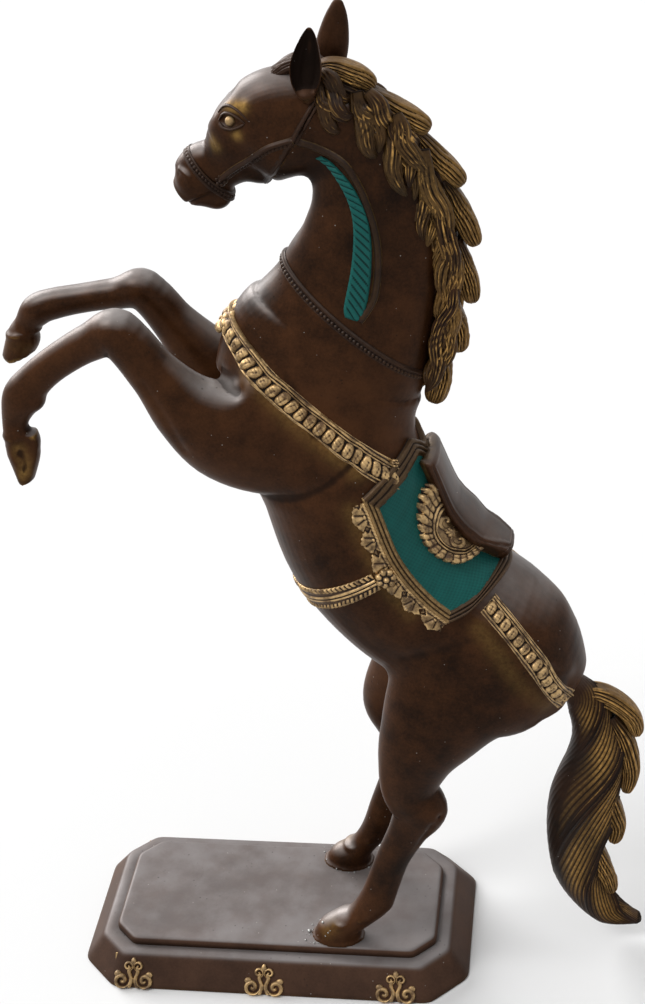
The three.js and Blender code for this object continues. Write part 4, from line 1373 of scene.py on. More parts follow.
@dataclass
class Harness:
    """Breast collar, hip straps, neck strap and girth, with their rosettes and studs."""

    collar_width: float = 12.5
    collar_span: float = 308.0
    nugget_pitch: float = 6.4
    hip_width: float = 10.5
    hip_path: Rows = ((141.5, 283.5), (155, 267.5), (171, 243), (185.5, 212.5))
    neck_strap_width: float = 5.4
    girth_row: float = 4.2
    girth_half: float = 0.155
    girth_tooth: float = 2.9
    girth_angles: Row = (82, 278)
    rosette: Row = (4.22, 75)
    rosette_size: Row = (6.2, 4.6)
    stud: Row = (2.82, 35.5)
    stud_size: Row = (2.5, 2.8)
    palmette_size: Row = (11.5, 4.2)

    def build(self, skin: Skin, palette: Palette) -> None:
        """Makes the straps on both sides.

        Args:
            skin: the skin below.
            palette: the finishes.
        """
        u, v = mesh_grid(130, 7)
        rays = plane_rays(COLLAR_PLANE, (u - 0.5) * self.collar_span, (v - 0.5) * self.collar_width)
        collar = skin.patch(rays, 0.5)
        gilt = palette.get("gilt")
        front = unit(np.array(COLLAR_PLANE.toward, float))
        chest = skin.hit(np.array(COLLAR_PLANE.middle, float), front, REACH)
        palmette = Ornament(chest - front * 0.5, front, *self.palmette_size, 9)
        collar_mesh = merge(collar.relief(self.nuggets(collar, 0)), palmette.mesh(20, 90))
        add_piece("collar_relief", *collar_mesh, gilt, Slot.GILT, ("breast_collar",))
        for name, side in SIDES.items():
            u, v = mesh_grid(48, 7)
            rays = side_rays(self.hip_path, u, (0.5 - v) * self.hip_width, side)
            strap = skin.patch(rays, 0.5)
            height = self.nuggets(strap, 8.5, 0.84)
            add_piece(f"hip_relief_{name}", *strap.relief(height), gilt, Slot.GILT, (f"hip_strap_{name}",))
            self.ornaments(name, side, skin, gilt)
        u, v = mesh_grid(110, 5, loop=True)
        rays = plane_rays(NECK_STRAP_PLANE, u * 360, (v - 0.5) * self.neck_strap_width)
        strap = skin.patch(rays, 0.42, loop=True)
        mesh = strap.relief(self.beaded(strap))
        add_piece("neck_strap_relief", *mesh, palette.get("tack"), Slot.PATINA, ("neck_strap",))
        u, v = mesh_grid(80, 7)
        rows = self.girth_row + (v - 0.5) * 2 * self.girth_half
        rays = section_rays(TRUNK, rows, between(self.girth_angles, u))
        girth = skin.patch(rays, 0.6)
        add_piece("girth_relief", *girth.relief(self.toothed(girth)), gilt, Slot.GILT, ("girth",))

    def ornaments(self, name: str, side: int, skin: Skin, gilt: Material) -> None:
        """Adds one side's girth rosette and collar stud.

        Args:
            name: the side's name.
            side: -1 for left, 1 for right.
            skin: the skin below them.
            gilt: their finish.
        """
        row, angle = self.rosette
        origin, out = section_rays(TRUNK, np.array(row), np.array(side * angle))
        flower = Ornament(skin.hit(origin, out, REACH) + out * 1.5, out, *self.rosette_size, 7)
        add_piece(f"rosette_{name}", *flower.mesh(), gilt, Slot.GILT, (f"girth_rosette_{name}",))
        row, angle = self.stud
        origin, out = section_rays(TRUNK, np.array(row), np.array(side * angle))
        stud = Ornament(skin.hit(origin, out, REACH) + out * 1.8, out, *self.stud_size, 6)
        add_piece(f"stud_{name}", *stud.mesh(), gilt, Slot.GILT, (f"collar_stud_{name}",))

    def nuggets(self, patch: Patch, plain: float, size: float = 1.0) -> Array:
        """Heights of a row of loaf-shaped nuggets between rails.

        Args:
            patch: the strap.
            plain: length at its end that has a small flower instead.
            size: width of the strap against the collar's.

        Returns:
            The heights.
        """
        s, w, length = patch.measures()
        w = w / size
        count = max(1, round((length - plain) / self.nugget_pitch))
        pitch = (length - plain) / count
        number = np.floor(s / pitch)
        d = beat(s, pitch) / (0.48 * pitch)
        e = (w - 1.0) / 4.3
        power = 2.6
        loaf = np.clip(1 - np.abs(d) ** power - np.abs(e) ** power, 0, None) ** (1 / power)
        lobes = 0.9 + 0.1 * np.abs(np.cos(6.2 * e + 0.5 * np.sin(2.4 * number) + 1.6 * d))
        fold = 1 - 0.12 * bulge(d - 0.3 * np.sin(1.9 * number) - 0.3 * e, 0.2) * (e > -0.35)
        height = 0.4 + 3.0 * loaf * lobes * fold
        flower = np.hypot(s - length + 4, w - 0.9)
        petals = 1 + 0.3 * np.cos(5 * np.arctan2(w - 0.9, s - length + 4))
        flat = 1.4 + 1.2 * bulge(flower, 2.5 * petals)
        height = np.where(s > length - plain, np.where(np.abs(w - 0.7) < 4.3, flat, 0.6), height)
        for middle, half, rise in ((-5.4, 0.9, 2.2), (-3.7, 0.7, 1.6), (5.75, 0.6, 1.6)):
            height = np.maximum(height, 0.4 + rise * bulge(w - middle, half))
        return height + 0.08 * ripple(s, w, 1.1, 0.7)

    def beaded(self, patch: Patch) -> Array:
        """Heights of a rail with a row of beads under it.

        Args:
            patch: the strap.

        Returns:
            The heights.
        """
        s, w, length = patch.measures()
        pitch = length / round(length / 2.5)
        beads = 1.3 * mound(beat(s, pitch) / 1.1, (w - 1.1) / 1.1)
        rail = 1.7 * bulge(w + 1.2, 1.15)
        edge = 0.8 * bulge(w - 2.5, 0.5)
        return np.maximum(np.maximum(beads + 0.3, rail), edge) + 0.05 * ripple(s, w, 1.3, 0.2)

    def toothed(self, patch: Patch) -> Array:
        """Heights of a band of two ridges between toothed edges, lower under the belly.

        Args:
            patch: the girth.

        Returns:
            The heights.
        """
        s, w, _ = patch.measures()
        half = w.max(axis=1, keepdims=True)
        along = patch.fractions()[0]
        height = 0.4 + 0.1 * ripple(s, w, 1.8, 0.7)
        for edge in (-1, 1):
            out = w * edge
            height = np.maximum(height, 0.5 + 1.5 * bulge(out - 1.05, 0.95))
            tooth = np.abs(np.mod(s / self.girth_tooth + 0.16 * out, 1) - 0.5) * 2
            teeth = bulge(out - half + 1.5, 1.6) * np.clip(1.7 * tooth - 0.3, 0, 1)
            height = np.maximum(height, 0.4 + 1.7 * teeth)
        return height * (0.62 + 0.38 * np.abs(2 * along - 1))


@dataclass
class Bridle:
    """Headstall, noseband and cheek straps."""

    width: float = 4.6
    cheek_path: Rows = ((8, 529.5), (16, 536), (25, 542), (36, 550), (48.5, 553.6))
    boss_size: Row = (3.4, 3.0)

    def build(self, skin: Skin, palette: Palette) -> None:
        """Makes the straps and their bosses.

        Args:
            skin: the skin below.
            palette: the finishes.
        """
        finish = palette.get("tack")
        for name, plane in (("headstall", HEADSTALL_PLANE), ("noseband", NOSEBAND_PLANE)):
            u, v = mesh_grid(90, 5, loop=True)
            rays = plane_rays(plane, u * 360, (v - 0.5) * self.width)
            strap = skin.patch(rays, 0.36, plane.reach, loop=True)
            s, w, length = strap.measures()
            if name == "headstall":
                cords = np.maximum(bulge(w - 1.15, 1.05), bulge(w + 1.15, 1.05))
                height = 1.8 * cords * (0.12 + 0.88 * np.clip((strap.points[..., 2] - 549) / 5, 0, 1))
            else:
                pitch = length / round(length / 2.2)
                beads = mound(beat(s, pitch) / 1.05, w / 0.9)
                height = 0.2 + 1.1 * np.maximum(beads, np.maximum(bulge(w - 1.7, 0.7), bulge(w + 1.7, 0.7)))
                height = height * (0.45 + 0.55 * np.clip((541 - strap.points[..., 2]) / 5, 0, 1))
            add_piece(f"{name}_relief", *strap.relief(height), finish, Slot.PATINA, (name,), passes=5)
        for name, side in SIDES.items():
            u, v = mesh_grid(40, 5)
            strap = skin.patch(side_rays(self.cheek_path, u, (v - 0.5) * self.width, side), 0.36, 60)
            s, w, _ = strap.measures()
            beads = mound(beat(s, 2.2), (w + 1.4) / 0.9)
            height = np.maximum(0.3 + 1.1 * beads, 1.9 * bulge(w - 0.7, 1.4))
            ring = skin.beside(*self.cheek_path[0], side, 60)
            boss = Ornament(ring, np.array((-0.1, side, 0.1)), *self.boss_size, 6)
            mesh = merge(strap.relief(height), boss.mesh(10, 36))
            add_piece(f"cheek_relief_{name}", *mesh, finish, Slot.PATINA, (f"cheek_strap_{name}",), passes=5)


@dataclass
class NeckPlume:
    """The teal plume on each side of the neck and the cord behind it."""

    rows: Rows = (
        (2.82, 91, 7), (3.1, 91, 13), (4.1, 86, 13), (5, 80, 11.5), (5.6, 72.5, 9.5), (6.2, 61, 7.5),
        (7.0, 44, 3.5),
    )
    ridge: float = 4.4
    cord_width: float = 4.4
    cord_path: Rows = (
        (50, 553), (61.5, 547.4), (72.6, 540.3), (79.3, 529.2), (83.8, 517), (86.9, 504.3),
        (87.9, 491.3), (87, 478.4), (84, 467), (77, 457),
    )

    def build(self, skin: Skin, palette: Palette) -> None:
        """Makes both sides.

        Args:
            skin: the skin below.
            palette: the finishes.
        """
        for name, side in SIDES.items():
            u, v = mesh_grid(64, 13)
            table = spline(self.rows, u)
            rays = section_rays(NECK, table[..., 0], side * (table[..., 1] + (2 * v - 1) * table[..., 2]))
            plume = skin.patch(rays, 0.45)
            s, w, _ = plume.measures()
            a, b = plume.fractions()
            strands = np.abs(np.cos(math.pi * (s + 0.9 * w) / self.ridge))
            edge = np.minimum(np.minimum(b, 1 - b) * 9, np.minimum(a * 16, (1 - a) * 26))
            height = (0.5 + 1.2 * strands**0.45) * np.sqrt(np.clip(edge, 0, 1)) - 0.25
            mesh = plume.relief(height)
            nodes = (f"neck_inlay_{name}",)
            add_piece(f"plume_{name}", *mesh, palette.get("enamel"), Slot.ENAMEL, nodes, passes=10)
            u, v = mesh_grid(80, 7)
            rim = skin.patch(side_rays(self.cord_path, u, (v - 0.5) * self.cord_width, side), 0.5, 60)
            s, w, length = rim.measures()
            ends = np.clip(np.minimum(s, length - s) / 3, 0, 1)
            height = 2.0 * np.maximum(bulge(w, 1.7), 0.12) * ends**0.5
            mesh = rim.relief(height)
            add_piece(f"plume_cord_{name}", *mesh, palette.get("tack"), Slot.PATINA, (f"inlay_rim_{name}",))


@dataclass
class Saddle:
    """Saddle cloth with inlays and lace, seat and fan-shaped skirts."""

    cloth_rows: Row = (3.0, 5.8)
    cloth_lean: float = 0.8
    cloth_front: float = 0.3
    cloth_drop: float = 67.5
    border_front: float = 0.26
    border_rear: float = 0.28
    border_low: float = 8.5
    inlay_rows: Row = (3.2, 5.58)
    inlay_angles: Row = (8.0, 60.0)
    fringe_rows: Row = (3.06, 5.78)
    fringe_angles: Row = (66.5, 80.5)
    fringe_count: int = 6
    seat_rows: Row = (3.06, 6.35)
    seat_drop: Row = (14.5, 14.5, 14, 12.5, 10, 6.5)
    seat_edge: float = 4.2
    seat_profile: Row = (8.2, 8.8, 9.8, 11.6, 11.6, 13.0, 13.4)
    seat_flare: float = 0.95
    flared_rise: float = 12.0
    fan_middle: float = 4.45
    fan_rows: float = 1.1
    fan_skew: float = 0.34
    fan_angles: Row = (14.0, 40.5)
    fan_lift: float = 1.6
    fan_pleats: int = 16

    def leaning(self, rows: Row, u: Array, angles: Array) -> Array:
        """Rows of a patch whose front and rear edges lean apart toward the spine.

        Args:
            rows: the first and last row at the patch's lower edge.
            u: fractions of the way between them.
            angles: degrees from the spine.

        Returns:
            The rows, one for each point.
        """
        down = np.minimum(np.abs(angles) / self.cloth_drop, 1)
        front = rows[0] - self.cloth_front * (1 - down**1.3) * np.clip(down / 0.2, 0.1, 1)
        rear = rows[1] + self.cloth_lean * (1 - down**1.6)
        return front + (rear - front) * u

    def build(self, skin: Skin, palette: Palette) -> None:
        """Makes the cloth, the seat and what hangs on each side.

        Args:
            skin: the skin below.
            palette: the finishes.
        """
        gilt = palette.get("gilt")
        border = palette.get("border")
        u, v = mesh_grid(56, 57)
        angles = (2 * v - 1) * self.cloth_drop
        cloth = skin.patch(section_rays(TRUNK, self.leaning(self.cloth_rows, u, angles), angles), 0.5)
        height, gold = self.cloth(cloth)
        mesh = cloth.relief(height)
        gold = np.concatenate((gold.ravel(), np.zeros(len(mesh[0]) - gold.size)))
        add_piece("cloth_relief", *mesh, border, Slot.GILT, ("saddle_cloth",), gold=gold)
        u, v = mesh_grid(56, 25)
        drop = curve(self.seat_drop, u)
        rays = section_rays(TRUNK, between(self.seat_rows, u), (2 * v - 1) * drop)
        seat = skin.patch(rays, 0.6)
        height = self.seat(seat)
        verts, faces = seat.relief(height)
        rise = np.concatenate((height.ravel(), np.zeros(len(verts) - height.size)))
        verts[:, 1] = verts[:, 1] * (1 + self.seat_flare * np.clip(rise / self.flared_rise, 0, 1.2))
        add_piece("seat_relief", verts, faces, palette.get("seat"), Slot.PATINA, ("saddle_seat",))
        for name, side in SIDES.items():
            self.dress_side(name, side, skin, gilt, palette.get("enamel"))

    def dress_side(self, name: str, side: int, skin: Skin, gilt: Material, enamel: Material) -> None:
        """Adds one side's panel, lace and fan.

        Args:
            name: the side's name.
            side: -1 for left, 1 for right.
            skin: the skin below.
            gilt: finish of the lace and the fan.
            enamel: finish of the panel.
        """
        u, v = mesh_grid(44, 25)
        angles = between(self.inlay_angles, v)
        rays = section_rays(TRUNK, self.leaning(self.inlay_rows, u, angles), side * angles)
        panel = skin.patch(rays, 0.5)
        height = self.woven(panel)
        add_piece(f"panel_{name}", *panel.relief(height), enamel, Slot.ENAMEL, (f"cloth_inlay_{name}",))
        u, v = mesh_grid(70, 9)
        rays = section_rays(TRUNK, between(self.fringe_rows, u), side * between(self.fringe_angles, v))
        lace = skin.patch(rays, 0.38)
        mesh = lace.relief(self.lace(lace), 2.2)
        add_piece(f"lace_{name}", *mesh, gilt, Slot.GILT, (f"cloth_fringe_{name}",))
        u, v = mesh_grid(48, 17)
        reach = 0.03 + 0.98 * v
        swing = reach * np.sin(math.pi * u)
        rows = self.fan_middle - self.fan_rows * reach * np.cos(math.pi * u) - self.fan_skew * swing
        fan = skin.patch(section_rays(TRUNK, rows, side * between(self.fan_angles, swing)), 0.42)
        mesh = fan.relief(self.fan(fan), 0.5)
        add_piece(f"fan_{name}", *mesh, gilt, Slot.GILT, (f"saddle_skirt_{name}",))

    def cloth(self, patch: Patch) -> Pair:
        """Heights of a cloth with a border of three ridges round its panels, and its brushed gold.

        Args:
            patch: the cloth.

        Returns:
            The heights and the gold.
        """
        u, v = patch.fractions()
        s, w, _ = patch.measures()
        angles = (2 * v - 1) * self.cloth_drop
        rows = self.leaning(self.cloth_rows, u, angles)
        front = (rows - self.leaning(self.cloth_rows, 0 * u, angles)) / self.border_front
        rear = (self.leaning(self.cloth_rows, 1 + 0 * u, angles) - rows) / self.border_rear
        low = (self.cloth_drop - np.abs(angles)) / self.border_low
        f = np.minimum(np.minimum(front, rear), low)
        ridges = sum(bulge(f - middle, 0.13) for middle in (0.16, 0.48, 0.8))
        height = np.where(f < 1, 1.9 + 1.3 * ridges, 1.2)
        gold = np.where(low <= np.minimum(front, rear), 0.9, np.where(front < rear, 0.2, 0.12))
        return height + 0.06 * ripple(s, w, 1.6, 0.4), gold * (f < 1)

    def woven(self, patch: Patch) -> Array:
        """Heights of a painted panel with a faint weave.

        Args:
            patch: the panel.

        Returns:
            The heights.
        """
        s, w, _ = patch.measures()
        weave = np.cos(math.pi * (s + 0.3 * w) / 1.4) * np.cos(math.pi * (w - 0.3 * s) / 1.4)
        return 1.7 + 0.09 * weave + 0.12 * ripple(s, w, 3, 0.9)

    def lace(self, patch: Patch) -> Array:
        """Heights of cast lace: a cord, a leafy strip with openings and a pointed edge.

        Args:
            patch: the lace.

        Returns:
            The heights.
        """
        s, w, length = patch.measures()
        down = w - w[:, :1]
        drop = w[:, -1:] - w[:, :1]
        pitch = length / self.fringe_count
        d = beat(s, pitch) / (0.5 * pitch)
        f = down / drop
        number = np.floor(s / pitch)
        d = d + 0.16 * np.sin(2.1 * number) * (1 - np.abs(d))
        edge = 0.97 - (0.3 + 0.1 * np.sin(1.7 * number)) * np.abs(d) ** 1.5
        edge = edge - 0.05 * np.abs(np.sin(9 * d))
        turn = np.arctan2(d * 0.5 * pitch, down - 0.05 * drop)
        leaf = np.abs(np.cos(4.2 * turn + 0.4 * np.sin(1.3 * number))) ** 0.7
        strip = 0.7 + 1.9 * leaf * np.sqrt(np.clip(f, 0, 1)) * (1 - 0.3 * np.abs(d))
        gap = 1 - np.abs(d)
        opening = (gap < 0.34 * (1 - np.abs(f - 0.4) / 0.2)) & (np.abs(f - 0.4) < 0.2)
        height = np.where(opening, 0.0, strip)
        height = np.maximum(height, 2.8 * mound(d / 0.2, (f - 0.3) / 0.1))
        cord = 1.0 + 1.5 * rope(s, down, 1.1, 1.1, 2.2)
        height = np.where(down < 2.1, np.maximum(height, cord), height)
        return np.where(f > edge, -1.6, height)

    def seat(self, patch: Patch) -> Array:
        """Heights of the dished seat, with two lines raised along its edge.

        Args:
            patch: the seat.

        Returns:
            The heights.
        """
        u, v = patch.fractions()
        s, w, length = patch.measures()
        across = 2 * v - 1
        top = curve(self.seat_profile, u)
        height = self.seat_edge + (top - self.seat_edge) * (1 - np.abs(across) ** 4)
        half = w.max(axis=1, keepdims=True)
        inset = np.minimum(half - np.abs(w), np.minimum(s, length - s))
        for line in (2.2, 4.0):
            height = height + 0.6 * bulge(inset - line, 0.7)
        return np.where(inset < 0.6, height - 0.6, height)

    def fan(self, patch: Patch) -> Array:
        """Heights of a fan of double pleats round an arched border and a scrolled field.

        Args:
            patch: the skirt.

        Returns:
            The heights.
        """
        u, v = patch.fractions()
        r = (0.03 + 0.98 * v) / 1.01
        turn = math.pi * u
        lift = self.fan_lift * (1 - r * np.sin(turn)) ** 1.4
        lobe = np.abs(np.cos(self.fan_pleats * turn))
        edge = 0.94 + 0.055 * lobe
        swell = np.maximum(0.75 * bulge(r - 0.8, 0.07), bulge(r - 0.91, 0.09))
        pleats = 4.1 + 2.4 * (0.2 + 0.8 * lobe**0.6) * swell
        height = np.where(r > 0.74, pleats, 4.2)
        for middle, half, rise in ((0.71, 0.03, 1.7), (0.63, 0.024, 1.4)):
            height = np.maximum(height, 4.4 + rise * bulge(r - middle, half))
        x = r * np.cos(turn)
        y = r * np.sin(turn)
        for side in (-1, 1):
            spiral = np.hypot(x - side * 0.29, y - 0.24)
            swing = np.arctan2(y - 0.24, side * (x - side * 0.29))
            coil = np.mod(spiral * 24 - swing, 2 * math.pi) - math.pi
            scroll = np.where(spiral < 0.24, bulge(coil, 1.6) * (1 - spiral * 1.6), 0)
            height = np.maximum(height, 4.2 + 1.9 * np.where(r < 0.6, scroll, 0))
        boss = np.hypot(x, y - 0.3)
        petals = 0.62 + 0.38 * np.abs(np.cos(3 * np.arctan2(y - 0.3, x)))
        height = np.maximum(height, 4.3 + 2.6 * bulge(boss, 0.12 * petals + 0.02))
        return np.where(r > edge, 1.0, height + lift)


# Hair, ears and eyes


@dataclass
class Lock:
    """A lock of cast hair: a flat sweep with grooves between its strands and a blunt tip."""

    path: Sequence[Row]
    width: Row
    depth: Row
    out: Row = (0, -1, 0)
    strands: float = 6.0
    groove: float = 0.34
    seed: float = 0.0
    blunt: float = 0.16
    gold: Row = (0.0, 0.0)

    def gilding(self, steps: int = 44, sides: int = 84) -> Array:
        """How strongly gold is brushed on at each vertex, from the root to the tip."""
        return np.repeat(curve(self.gold, np.linspace(0, 1, steps)), sides)

    def mesh(self, steps: int = 44, sides: int = 84) -> Mesh:
        """The closed surface of the lock.

        Args:
            steps: rings from the root to the tip.
            sides: points per ring.

        Returns:
            The mesh.
        """
        t = np.linspace(0, 1, steps)
        centre = spline(self.path, t)
        tangent = unit(np.gradient(centre, axis=0))
        out = np.array(self.out, float)
        out = unit(out - tangent * (tangent @ out)[:, None])
        across = np.cross(out, tangent)
        tip = np.sqrt(np.clip(1 - np.clip((t - 1 + self.blunt) / self.blunt, 0, 1) ** 2, 0, 1))
        width = curve(self.width, t) * tip
        depth = curve(self.depth, t) * tip
        turn = circle(sides)
        x = np.cos(turn)[None] + 0 * t[:, None]
        wave = 0.4 * np.sin(4.2 * t[:, None] + self.seed) + 0.12 * np.sin(13 * t[:, None] + 2 * self.seed)
        strand = self.strands * (x + 1) / 2 + 0.3 * np.sin(2.6 * x + 3 * self.seed) + wave + self.seed
        ridge = np.abs(np.cos(math.pi * strand))
        uneven = 0.5 + 0.5 * np.sin(2.4 * np.floor(strand + 0.5) + 5 * self.seed)
        fine = np.abs(np.cos(math.pi * (2.6 * strand + 0.5 * np.sin(9 * t[:, None]))))
        fade = np.clip(t * 6, 0, 1)[:, None]
        cut = self.groove * fade * (1 - ridge**0.55 + 0.35 * uneven + 0.3 * (1 - fine))
        y = np.sin(turn)[None] * (1 - cut)
        points = centre[:, None] + across[:, None] * (x * (1 - 0.4 * cut) * width[:, None])[..., None]
        points = points + out[:, None] * (y * depth[:, None])[..., None]
        faces = capped(steps, sides)
        return facing_out(points.reshape(-1, 3), faces, centre[steps // 2], steps // 2 * sides)


def facing_out(verts: Array, faces: list[list[int]], inside: Array, probe: int) -> Mesh:
    """A mesh with its faces turned outward.

    Args:
        verts: the vertices.
        faces: the faces, as indices.
        inside: a point inside the mesh.
        probe: the face that is looked at.

    Returns:
        The mesh.
    """
    a, b, c = (verts[faces[probe][k]] for k in range(3))
    if np.dot(np.cross(b - a, c - a), a - inside) < 0:
        faces = [face[::-1] for face in faces]
    return verts, faces


def lengthwise(points: Rows) -> Rows:
    """Points of the middle plane, given by x and z."""
    return tuple((x, 0.0, z) for x, z in points)


@dataclass
class Mane:
    """Tufts along the crest, locks down both sides of the neck and the forelock."""

    tufts: tuple[Rows, ...] = (
        ((57, 582.5), (65.5, 584.6), (73.5, 582.5), (81, 578.4), (88, 573)),
        ((81.5, 574), (89.7, 568.6), (98, 562.8), (107.2, 556.2), (115, 551)),
        ((104, 553), (111.5, 545.2), (118, 537), (124.6, 529), (131, 521.5)),
        ((120.5, 525), (125, 517.3), (128.3, 509.5), (132.4, 499.6), (137.2, 488)),
        ((126, 492), (128.8, 483.6), (130.8, 475.2), (132.8, 466), (134.6, 455.5)),
        ((121.5, 459), (123.6, 450.4), (124.9, 442.5), (125.6, 435), (125.4, 426.5)),
        ((116, 433), (116.6, 424.6), (116.4, 415.5), (114.8, 406), (111.4, 395.5)),
    )
    ridge: Rows = (
        (62, 578), (85, 566), (103, 545), (114, 516), (117.5, 486), (115, 456), (110, 428), (101, 402),
    )
    ridge_half: Row = (6, 8, 10, 11, 11, 10.5, 9, 6)
    crest: Rows = (
        (63, 585), (88, 572.5), (108, 551), (120.5, 518), (124.5, 486), (121.5, 456), (115.5, 428),
        (106, 402),
    )
    reach: Row = (22, 27, 25, 21, 14, 7, 2, 0)
    layers: Rows = ((1.0, 0.1), (0.74, 1.0), (0.46, 1.8), (0.15, 2.4))
    layer_locks: int = 8
    far_drop: float = 3.5
    widest: float = 23.0
    crest_half: float = 9.0
    arch: Row = (-1.6, 0.3, 0.5, 0.5, 0.3, -0.9)
    lock_width: Row = (2.6, 4.4, 5.2, 4.8, 3.6, 1.6)
    lock_depth: Row = (1.8, 3.2, 3.8, 3.6, 2.8, 1.2)

    def falling(self, skin: Skin, side: int) -> list[Lock]:
        """Locks that fall from the crest down one side of the neck, in layers.

        Args:
            skin: the skin below.
            side: -1 for left, 1 for right.

        Returns:
            The locks.
        """
        chance = np.random.default_rng(11)
        locks = []
        f = np.linspace(0, 1, 6)
        for (share, lift), i in product(self.layers, range(self.layer_locks)):
            start = 0.8 * (i + chance.uniform(-0.25, 0.25) + 0.2) / self.layer_locks
            span = 0.11 + 0.1 * min(start / 0.3, 1) + chance.uniform(-0.02, 0.03)
            t = np.clip(start + span * f, 0, 1)
            spot = spline(self.crest, t)
            ahead = heading(self.crest, t)
            last = curve(self.reach, t[-1:])[0] - 5
            wave = 3.0 * np.sin(5.6 * f + chance.uniform(0, 6.3)) * np.clip(f * 3, 0, 1)
            root = -1.5 + 0.3 * (last + 3) * share
            root += self.far_drop * (side > 0) * (start < 0.4)
            q = root + ((last - root) * share + 3 * (1 - share)) * f**0.6 + wave
            rise = lift + chance.uniform(-0.5, 0.9)
            path = []
            for k in range(len(f)):
                x = spot[k, 0] + ahead[k, 1] * q[k]
                z = spot[k, 1] - ahead[k, 0] * q[k]
                y = skin.beside(x, z, side, 60)[1]
                if abs(y) >= self.widest:
                    y = side * self.crest_half
                path.append((x, y + side * (rise + self.arch[k]), z))
            size = chance.uniform(0.85, 1.2)
            shine = chance.uniform(0.0, 0.5) * min(0.1 + 2.2 * start, 1)
            width = tuple(w * size for w in self.lock_width)
            gold = (0.1, 0.6 * shine, shine, shine, 0.8 * shine, 0.5 * shine)
            groove = 0.26 + 0.29 * min(start / 0.3, 1)
            out = (0.12, side, 0.12)
            seed = chance.uniform(0, 6)
            locks.append(Lock(path, width, self.lock_depth, out, 4.2, groove, seed, 0.25, gold))
        return locks

    def build(self, skin: Skin, palette: Palette) -> None:
        """Makes the mane and the forelock.

        Args:
            skin: the skin below.
            palette: the finishes.
        """
        finish = palette.get("hair")
        locks = [Lock(lengthwise(self.ridge), self.ridge_half, (7, 8, 8, 8, 7, 6), strands=7, groove=0.2)]
        for i, tuft in enumerate(self.tufts):
            half = (3.6, 4.6, 5.9, 6.2, 5) if i < 5 else (4.4, 6, 7.2, 7.2, 6)
            depth = (5, 7, 8, 7.5, 5)
            lock = Lock(lengthwise(tuft), half, depth, strands=7, groove=0.36, seed=0.37 * i)
            lock.gold = (0.0, 0.15, 0.4, 0.5, 0.35)
            locks.append(lock)
        meshes = [lock.mesh() for lock in locks]
        gold = [lock.gilding() for lock in locks]
        for side in SIDES.values():
            for lock in self.falling(skin, side):
                meshes.append(lock.mesh(34, 46))
                gold.append(lock.gilding(34, 46))
        mesh = merge(*meshes)
        add_piece("mane_locks", *mesh, finish, Slot.HAIR, ("mane",), gold=np.concatenate(gold), passes=6)
        front = []
        for i, (y, reach) in enumerate(((-6.5, 0), (0, 4), (6.5, 0))):
            path = ((66, y, 580), (56, y * 0.95, 587), (45, y * 0.8, 586), (32 - reach, y * 0.5, 578.5))
            half = (3.6, 4.4, 3.8, 1.8)
            lock = Lock(path, half, (3, 4, 3.4, 1.6), (0, 0.1 * y, 1), 4, 0.4, 1.3 * i, 0.35)
            front.append(lock.mesh())
        add_piece("forelock_locks", *merge(*front), palette.get("tack"), Slot.HAIR, ("forelock",), passes=6)


